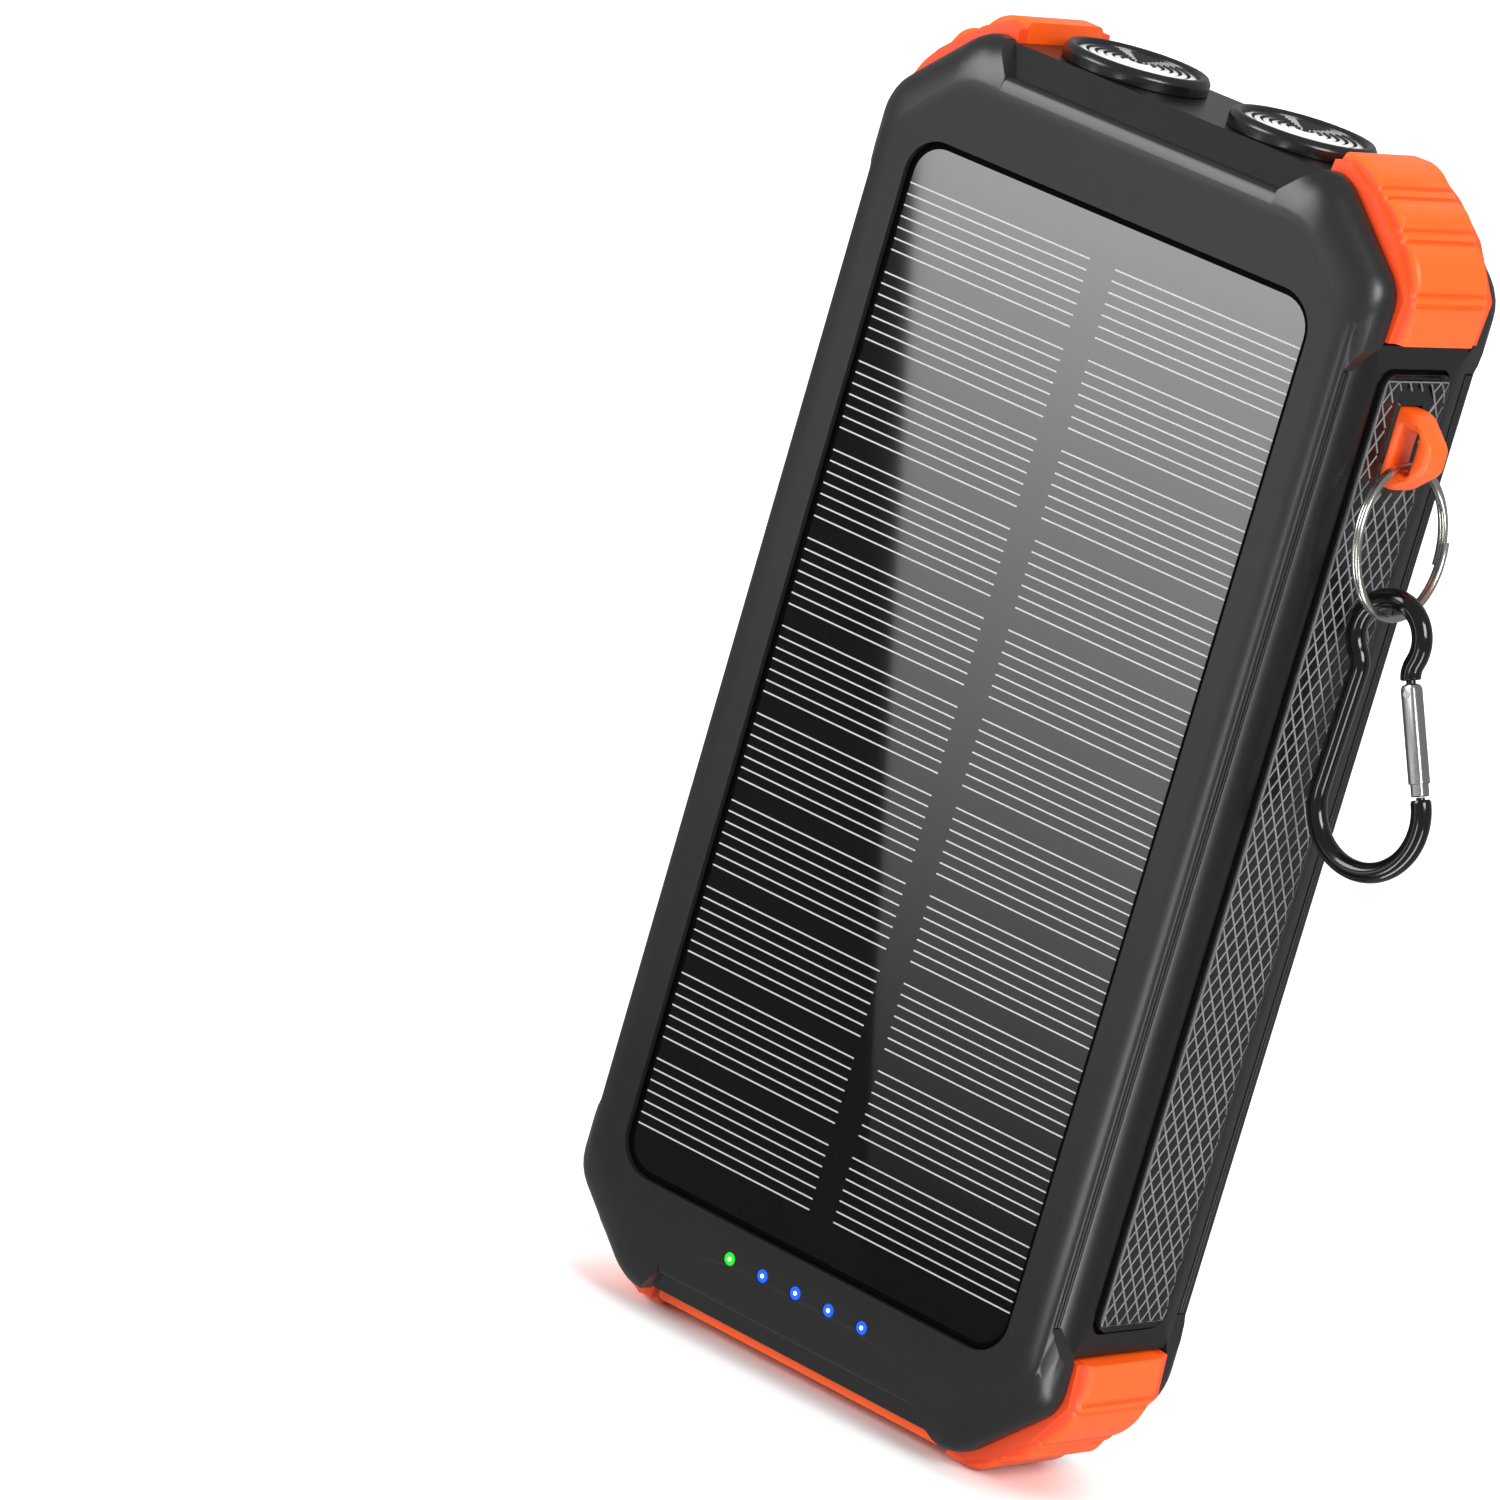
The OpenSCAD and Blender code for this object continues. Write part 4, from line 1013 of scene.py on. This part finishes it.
@dataclass
class Grips:
    """Knurled rubber panels on both long sides.

    Attributes:
        pitch_y: Width of one diamond across the side.
        pitch_z: Height of one diamond along the side.
        groove: Share of a diamond that its groove takes.
        relief: Depth of the grooves.
        margin: Plain border round the diamonds.
    """

    pitch_y: float = 2.3
    pitch_z: float = 3.2
    groove: float = 0.15
    relief: float = 0.26
    margin: float = 0.55

    def panel(self, node: str, holes: Sequence[tuple[float, float, float, float]]) -> None:
        """Builds one panel over its CAD node.

        Args:
            node: Name of the CAD node.
            holes: Openings as (low y, low z, high y, high z) that the diamonds leave free.
        """
        low, high = box_mm(node)
        sx = 1 if low.x > 0 else -1
        face = max(abs(low.x), abs(high.x))
        y0, y1 = low.y + self.margin, high.y - self.margin
        z0, z1 = low.z + self.margin + 0.3, high.z - self.margin - 0.3
        points: list[Point] = []
        faces: list[Face] = []

        def inside(y: float, z: float) -> bool:
            """Whether a point is on the panel and clear of its openings."""
            if not (y0 <= y <= y1 and z0 <= z <= z1):
                return False
            return not any(a - 0.25 < y < c + 0.25 and b - 0.25 < z < d + 0.25 for a, b, c, d in holes)

        half_y, half_z = self.pitch_y / 2, self.pitch_z / 2
        rows = int((z1 - z0) / half_z) + 2
        columns = int((y1 - y0) / half_y) + 2
        for row in range(-1, rows):
            for column in range(-1, columns):
                if (row + column) % 2:
                    continue
                cy, cz = y0 + column * half_y + 0.1, z0 + row * half_z
                ring = [(cy - half_y, cz), (cy, cz - half_z), (cy + half_y, cz), (cy, cz + half_z)]
                clipped = [(min(max(y, y0), y1), min(max(z, z0), z1)) for y, z in ring]
                if not inside(min(max(cy, y0), y1), min(max(cz, z0), z1)):
                    continue
                if any(not inside(y, z) for y, z in clipped):
                    continue
                my = sum(y for y, _ in clipped) / 4
                mz = sum(z for _, z in clipped) / 4
                start = len(points)
                for scale, depth in ((0.98, self.relief), (1 - self.groove, 0.04), (0.7, 0.0)):
                    for y, z in clipped:
                        points.append((sx * (face - depth), my + (y - my) * scale, mz + (z - mz) * scale))
                for level in (0, 4):
                    for k in range(4):
                        a, b = start + level + k, start + level + (k + 1) % 4
                        faces.append((a, b, b + 4, a + 4))
                faces.append((start + 8, start + 9, start + 10, start + 11))
        name = node.capitalize() + "_diamonds"
        made = piece(name, points, faces, GRIP, Body.UNIT, "grip_rubber", (), None)
        # Faces that slope away from the side take the pale painted highlight on the diamonds' flanks.
        made.data.materials.append(GRIP_PAINTED_HIGHLIGHT.material())
        for polygon in made.data.polygons:
            if abs(polygon.normal.x) < 0.8:
                polygon.material_index = 1

    def tray(self, node: str, holes: Sequence[tuple[float, float, float, float]]) -> None:
        """Builds the panel's tray: its raised rim and the sunk floor under the diamonds.

        Args:
            node: Name of the CAD node.
            holes: Openings through the tray; not used.
        """
        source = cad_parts[node]
        low, high = box_mm(node)
        sx = 1 if low.x > 0 else -1
        face = max(abs(low.x), abs(high.x)) * MM
        copy = bmesh.new()
        copy.from_mesh(source.data)
        bmesh.ops.remove_doubles(copy, verts=copy.verts, dist=1e-6)
        bmesh.ops.dissolve_limit(copy, angle_limit=0.01, verts=copy.verts, edges=copy.edges)
        tops = [f for f in copy.faces
                if abs(f.normal.x) > 0.9 and abs(abs(f.calc_center_median().x) - face) < 1e-5]
        bmesh.ops.inset_region(copy, faces=tops, thickness=self.margin * MM * 0.8, use_even_offset=True)
        for top in tops:
            for vert in top.verts:
                vert.co.x -= sx * self.relief * MM
        name = node.capitalize() + "_tray"
        mesh = bpy.data.meshes.new(name)
        copy.to_mesh(mesh)
        copy.free()
        mesh.materials.append(GRIP.material())
        made = bpy.data.objects.new(name, mesh)
        bpy.context.scene.collection.objects.link(made)
        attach(made, Body.UNIT.value)
        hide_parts(node)
        edge = made.modifiers.new("edge", "BEVEL")
        edge.width, edge.segments = 0.14 * MM, 2
        edge.limit_method, edge.angle_limit = "ANGLE", math.radians(40)
        LOG.info("%s: tray", name)

    def build(self) -> None:
        """Builds both panels round the button and the lanyard loop."""
        button_low, button_high = box_mm("power_button")
        window = (button_low.y - 0.5, button_low.z - 0.5, button_high.y + 0.5, button_high.z + 0.5)
        loop_low, loop_high = box_mm("lanyard_loop")
        slot = (loop_low.y - 0.5, loop_low.z - 0.5, loop_high.y + 0.5, loop_high.z + 0.5)
        for node, hole in (("grip_left", window), ("grip_right", slot)):
            self.tray(node, [hole])
            self.panel(node, [hole])


@dataclass
class PowerButton:
    """Rounded power key with a raised power mark.

    Attributes:
        mark_radius: Radius of the mark's ring.
        mark_line: Half width of its lines.
        mark_gap: Half of the ring's opening in degrees.
    """

    mark_radius: float = 1.75
    mark_line: float = 0.2
    mark_gap: float = 38.0

    def build(self) -> None:
        """Dresses the key and lays the mark on it."""
        dress("power_button", ORANGE_TPU, 0.35, 3)
        low, high = box_mm("power_button")
        cy, cz, x = (low.y + high.y) / 2, (low.z + high.z) / 2, low.x
        radius, gap = self.mark_radius, self.mark_gap
        path = []
        for i in range(25):
            a = math.radians(90 + gap + (360 - 2 * gap) * i / 24)
            path.append(Vector((x, cy + radius * math.cos(a), cz + radius * math.sin(a))))
        ring = tube(path, self.mark_line, 8, Vector((1, 0, 0)))
        bar = tube([Vector((x, cy, cz + 0.6)), Vector((x, cy, cz + 2.2))], self.mark_line, 8, Vector((1, 0, 0)))
        mark = piece("Power_mark", *joined([ring, bar]), ORANGE_EDGE, Body.BUTTON, "orange_tpu")
        for vert in mark.data.vertices:
            vert.co.x = max(vert.co.x, low.x * MM)


# ---------------------------------------------------------------- solar panel and lights


@dataclass
class SolarPanel:
    """Laminated sheet with two columns of cells and their printed finger lines.

    Attributes:
        rows: Rows of cells.
        lines: Finger lines in each cell.
        line_pitch: Distance between two lines of a cell.
        line_width: Width of a printed line.
        split: Half width of the bare strip in the middle.
        outer: Half width of the printed cells.
        corner: Radius of the sheet's corners.
    """

    rows: int = 11
    lines: int = 7
    line_pitch: float = 1.45
    line_width: float = 0.19
    split: float = 2.0
    outer: float = 31.2
    corner: float = 4.85

    def rim(self, inset: float, y: float) -> list[Point]:
        """Outline of the sheet with rounded corners.

        Args:
            inset: How far it lies inside the sheet's edge.
            y: Its depth.

        Returns:
            Its points, nine to a corner.
        """
        low, high = box_mm("solar_glass")
        half_x, half_z, cz = (high.x - low.x) / 2, (high.z - low.z) / 2, (low.z + high.z) / 2
        r = self.corner - inset
        ring = []
        for corner in range(4):
            ux = 1 if corner in (0, 3) else -1
            uz = 1 if corner in (0, 1) else -1
            for step in range(9):
                a = math.radians(90) * (corner + step / 8)
                ring.append((ux * (half_x - self.corner) + r * math.cos(a), y,
                             cz + uz * (half_z - self.corner) + r * math.sin(a)))
        return ring

    def sheet(self) -> None:
        """Builds the gloss sheet, rounded at its corners and eased at its rim."""
        low, high = box_mm("solar_glass")
        steps = ((0.0, high.y), (0.0, low.y + 0.12), (0.04, low.y + 0.04), (0.12, low.y))
        rings = [self.rim(inset, y) for inset, y in steps]
        sides = len(rings[0])
        points = [p for ring in rings for p in ring]
        faces = ring_faces(len(rings), sides)
        faces += [tuple(range(sides)), tuple(range(3 * sides, 4 * sides))]
        piece("Solar_sheet", points, faces, PANEL, Body.UNIT, "panel_glass", ["solar_glass"], 15)
        dress("solar_cells", PANEL)
        dress("solar_backing", PANEL)

    def gasket(self) -> None:
        """Lays the dark gasket round the rim of the sheet."""
        front = box_mm("solar_glass")[0].y
        steps = ((0.0, front + 0.1), (0.0, front - 0.05), (0.15, front - 0.1), (0.75, front - 0.04),
                 (0.85, front + 0.1))
        points = [p for inset, y in steps for p in self.rim(inset, y)]
        # The gasket's near-black ring is painted shade for the seam round the panel.
        piece("Panel_gasket", points, ring_faces(len(steps), 36, True), GASKET, Body.UNIT, "seal_rubber")

    def fingers(self) -> None:
        """Prints the finger lines on the cells."""
        low, high = box_mm("solar_cells")
        glass_low, _ = box_mm("solar_glass")
        pitch = (high.z - low.z + 1.6) / self.rows
        y = glass_low.y - 0.02
        parts = []
        for row in range(self.rows):
            first = high.z - 0.75 - row * pitch
            for line in range(self.lines):
                z = first - line * self.line_pitch
                for side in (-1, 1):
                    a, b = sorted((side * self.split, side * self.outer))
                    half = self.line_width / 2
                    parts.append(block((a, y, z - half), (b, y + 0.04, z + half), 0.012))
        piece("Silver_fingers", *joined(parts), SILVER, Body.UNIT, "solar_cell", (), None)

    def lights(self) -> None:
        """Builds the five status windows: a dyed shoulder with a bright core."""
        green_low, green_high = box_mm("led_pipe_green")
        blue_low, blue_high = box_mm("led_pipes_blue")
        z = (green_low.z + green_high.z) / 2
        half = (green_high.x - green_low.x) / 2
        first, last = blue_low.x + half, blue_high.x - half
        greens = [(green_low.x + green_high.x) / 2]
        blues = [first + (last - first) * i / 3 for i in range(4)]
        front, depth = green_low.y, green_high.y - green_low.y
        shoulder = [(0.01, 0.06), (half - 0.25, 0.06), (half - 0.08, 0.09), (half, 0.2), (half, depth),
                    (0.01, depth)]
        core = [(0.01, 0.0), (0.16, 0.005), (0.27, 0.03), (0.3, 0.1), (0.01, 0.12)]
        for name, glow, slot, xs, profile, node in (
            ("Green_light_pipe", GREEN_LIGHT, "led_green", greens, shoulder, "led_pipe_green"),
            ("Blue_light_pipes", BLUE_LIGHT, "led_blue", blues, shoulder, "led_pipes_blue"),
            ("Green_core", GREEN_CORE, "led_green", greens, core, ""),
            ("Blue_cores", BLUE_CORE, "led_blue", blues, core, ""),
        ):
            dots = [lathe(profile, Vector((x, front, z)), "Y", 24) for x in xs]
            piece(name, *joined(dots), glow, Body.UNIT, slot, [node] if node else ())

    def build(self) -> None:
        """Builds the panel and its lights."""
        self.sheet()
        self.gasket()
        self.fingers()
        self.lights()


@dataclass
class Torches:
    """Two torches: bezel, stepped lens and reflector.

    Attributes:
        rings: Prism rings of a lens.
        eye: Share of the lens that its plain middle takes.
        sides: Sides of the turned lens.
    """

    rings: int = 6
    eye: float = 0.14
    sides: int = 72

    def lens(self, side: str) -> None:
        """Builds one lens with its concentric prisms.

        Args:
            side: "left" or "right".
        """
        node = f"torch_lens_{side}"
        low, high = box_mm(node)
        centre = Vector(((low.x + high.x) / 2, (low.y + high.y) / 2, 0))
        radius = (high.x - low.x) / 2
        top = high.z
        profile = [(0.01, top - 0.25)]
        for i in range(self.rings):
            r0 = radius * (self.eye + (1 - self.eye) * i / self.rings)
            r1 = radius * (self.eye + (1 - self.eye) * (i + 1) / self.rings)
            profile += [(r0, top - 0.62), (r0 + 0.16, top - 0.02), (r1 - 0.3, top - 0.16)]
        profile += [(radius, top - 0.3), (radius, low.z), (0.01, low.z)]
        points, faces = lathe(profile, centre, "Z", self.sides)
        faces.append(tuple(range(self.sides)))
        faces.append(tuple(range(len(points) - self.sides, len(points)))[::-1])
        piece(f"Torch_lens_{side}_prisms", points, faces, LENS, Body.UNIT, "torch_lens", [node], 20)

    def build(self) -> None:
        """Builds both torches."""
        for side in ("left", "right"):
            dress(f"torch_bezel_{side}", BEZEL, 0.18, 2)
            # The reflector's part-diffuse pale colour is a painted highlight.
            dress(f"torch_reflector_{side}", REFLECTOR)
            self.lens(side)
        # The unlit phosphor's faint emission is a painted glow.
        dress("torch_leds", PHOSPHOR)
        dress("torch_board", BOARD)
        dress("led_board", BOARD)


# ---------------------------------------------------------------- leads and plugs


@dataclass
class Leads:
    """Built-in leads with their plugs."""

    def build(self) -> None:
        """Dresses the leads, heads and contacts."""
        for lead in ("usb_c_lead", "usb_a_lead", "eight_pin_lead", "lead_roots"):
            dress(lead, JACKET, 0.5 if lead != "lead_roots" else 0.0, 3)
        for head in ("usb_c_head", "usb_a_head", "eight_pin_head"):
            dress(head, HEAD, 0.6, 3)
        dress("usb_c_shell", SHELL, 0.05)
        dress("eight_pin_tab", SHELL, 0.12)
        dress("usb_a_tongue", BEZEL, 0.15)
        dress("usb_a_contacts", GOLD)


# ---------------------------------------------------------------- lanyard


@dataclass
class Lanyard:
    """Split ring and carabiner.

    Attributes:
        wire: Radius of the split ring's wire.
        coil_shift: How far the wire's ends lie from the ring's middle plane.
        coil_turns: Turns of the wire.
        gate_pin: Place (x, z) of the gate's pin.
        gate_run: Direction (x, z) of the closed gate.
        gate_length: Reach of the gate from its pin.
        hang: Place (x, z) where the ring hangs.
        lean: Lean of the lanyard in degrees.
        drop: Distance from there to the carabiner's top along the lanyard.
        rod: Radius of the carabiner's rod.
        top_arc: Centre and radius of the upper arc of the rod.
        low_arc: Centre and radius of the lower arc.
        neck: Centre and radius of the inward curve between them.
        neck_turn: Angle of the upper arc past its width, in degrees.
        side_turn: Slant of the long sides in degrees.
    """

    wire: float = 0.47
    coil_shift: float = 0.38
    coil_turns: float = 2.05
    gate_pin: tuple[float, float] = (51.237, 111.379)
    gate_run: tuple[float, float] = (0.4344, -0.9007)
    gate_length: float = 12.4
    hang: tuple[float, float] = (41.4, 137.1)
    lean: float = 12.0944
    drop: float = 16.2
    rod: float = 1.29
    top_arc: tuple[float, float, float] = (0.0, -4.8, 4.8)
    low_arc: tuple[float, float, float] = (0.0, -25.8, 7.6)
    neck: tuple[float, float, float] = (-6.755, -8.7, 3.0)
    neck_turn: float = 30.0
    side_turn: float = 13.6514

    def ring(self) -> None:
        """Builds the split ring, whose real wire is flattened, as two close turns of round wire."""
        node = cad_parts["split_ring"]
        corners = [Vector(v.co) / MM for v in node.data.vertices]
        centre = sum(corners, Vector()) / len(corners)
        low, high = box_mm("split_ring")
        normal = self.ring_normal(corners, centre)
        side = Vector((0, 1, 0))
        down = normal.cross(side).normalized()
        radius = (high.y - low.y) / 2 - 0.8
        path = []
        steps = 150
        for i in range(steps + 1):
            t = i / steps
            a = 2 * math.pi * self.coil_turns * t
            offset = (t - 0.5) * 2 * self.coil_shift
            path.append(centre + radius * (math.cos(a) * side + math.sin(a) * down) + normal * offset)
        points, faces = tube(path, self.wire, 12, normal)
        piece("Split_ring_coils", points, faces, NICKEL, Body.RING, "ring_nickel", ["split_ring"])

    def ring_normal(self, corners: list[Vector], centre: Vector) -> Vector:
        """Direction of the ring's axis, from its lowest and highest points."""
        top = max(corners, key=lambda p: p.z)
        bottom = min(corners, key=lambda p: p.z)
        run = (bottom - top).normalized()
        run.y = 0
        return Vector((0, 1, 0)).cross(run.normalized()).normalized()

    def rod_path(self) -> list[Vector]:
        """Middle line of the rod, from its hinge end round to its nose."""

        def arc(centre: tuple[float, float, float], start: float, stop: float, steps: int) -> list[Vector]:
            """Points of an arc between two angles in degrees."""
            x, z, r = centre
            turns = [math.radians(start + (stop - start) * i / steps) for i in range(steps + 1)]
            return [Vector((x + r * math.cos(a), z + r * math.sin(a))) for a in turns]

        x, z, r = self.neck
        path = arc((-x, z, r), 180 + self.side_turn, 180 - self.neck_turn + 4, 14)
        path += arc(self.top_arc, -self.neck_turn, 180 + self.neck_turn, 60)
        path += arc(self.neck, self.neck_turn - 4, -self.side_turn, 14)
        side = path[-1]
        start = arc(self.low_arc, 180 - self.side_turn, 180 - self.side_turn, 1)[0]
        path += [side.lerp(start, k / 12) for k in range(1, 12)]
        path += arc(self.low_arc, 180 - self.side_turn, 360 + self.side_turn, 60)
        rise = Vector((-math.sin(math.radians(self.side_turn)), math.cos(math.radians(self.side_turn))))
        path += [path[-1] + rise * 0.3, path[-1] + rise * 0.6]
        a = math.radians(self.lean)
        placed = []
        for spot in path:
            lx, lz = spot.x, spot.y - self.drop
            placed.append(Vector((self.hang[0] + lx * math.cos(a) - lz * math.sin(a), 0,
                                  self.hang[1] + lx * math.sin(a) + lz * math.cos(a))))
        return placed

    def rod_mesh(self) -> None:
        """Builds the rod with eased ends and the stub that carries the gate's pin."""
        path = self.rod_path()
        count = len(path) - 1

        def radius(share: float) -> float:
            """Radius of the rod, eased at both ends."""
            step = min(share, 1 - share) * count
            return self.rod * (0.86 + 0.14 * min(step / 1.0, 1.0))

        stub = [path[0], path[0] + (path[0] - path[1]).normalized() * 0.45]
        rod = tube(path, radius, 28)
        hinge = tube(stub, 0.6, 16)
        latch = tube([path[-1], path[-1] + (path[-1] - path[-2]).normalized() * 0.3], 0.55, 16)
        piece("Carabiner_rod", *joined([rod, hinge, latch]), ANODISED, Body.CARABINER, "carabiner_black",
              ["carabiner_body"], 50)

    def gate(self) -> None:
        """Builds the gate as a flat-sided bar with eased edges and a stepped nose."""
        run = Vector((self.gate_run[0], 0, self.gate_run[1]))
        side = Vector((0, 1, 0))
        out = run.cross(side)
        pin = Vector((self.gate_pin[0], 0, self.gate_pin[1]))
        rings = [(-1.25, 0.55), (-1.05, 0.85), (-0.6, 1.0), (self.gate_length - 1.6, 1.0),
                 (self.gate_length - 1.5, 0.84), (self.gate_length - 0.15, 0.84), (self.gate_length, 0.74)]
        sides = 24
        points: list[Point] = []
        for reach, scale in rings:
            for k in range(sides):
                a = 2 * math.pi * (k + 0.5) / sides
                c, d = math.cos(a), math.sin(a)
                wide = math.copysign(abs(c) ** 0.55, c) * 1.2 * scale
                deep = math.copysign(abs(d) ** 0.55, d) * 1.12 * scale
                points.append(tuple(pin + run * reach + side * wide + out * deep))
        faces = ring_faces(len(rings), sides)
        faces += [tuple(range(sides))[::-1], tuple(range((len(rings) - 1) * sides, len(rings) * sides))]
        piece("Gate_bar", points, faces, ALUMINIUM, Body.GATE, "gate_steel", ["carabiner_gate"], 35)

    def build(self) -> None:
        """Builds the ring, the rod and the gate, and dresses the rivet and the spring."""
        self.ring()
        self.rod_mesh()
        self.gate()
        dress("gate_rivet", NICKEL)
        dress("gate_spring", NICKEL)


@dataclass
class Inside:
    """Ports, boards and cells inside the casing."""

    def build(self) -> None:
        """Dresses the inner parts."""
        for node in ("usb_port_left", "usb_port_right", "usb_c_port"):
            dress(node, SHELL)
        for node in ("main_board", "button_switch"):
            dress(node, BOARD)
        dress("board_coil", BEZEL)
        dress("board_chips", BEZEL)
        dress("battery_cell_front", POUCH)
        dress("battery_cell_back", POUCH)
        dress("battery_pad", FOAM)


def main() -> None:
    """Builds the sub-assemblies in order."""
    logging.basicConfig(level=logging.INFO, format="%(name)s: %(message)s")
    Studio().build()
    parts = (Shell(), Bumpers(), Grips(), PowerButton(), SolarPanel(), Torches(), Leads(), Lanyard(), Inside())
    for part in parts:
        part.build()
        LOG.info("%s built", type(part).__name__)


if __name__ == "__main__":
    main()
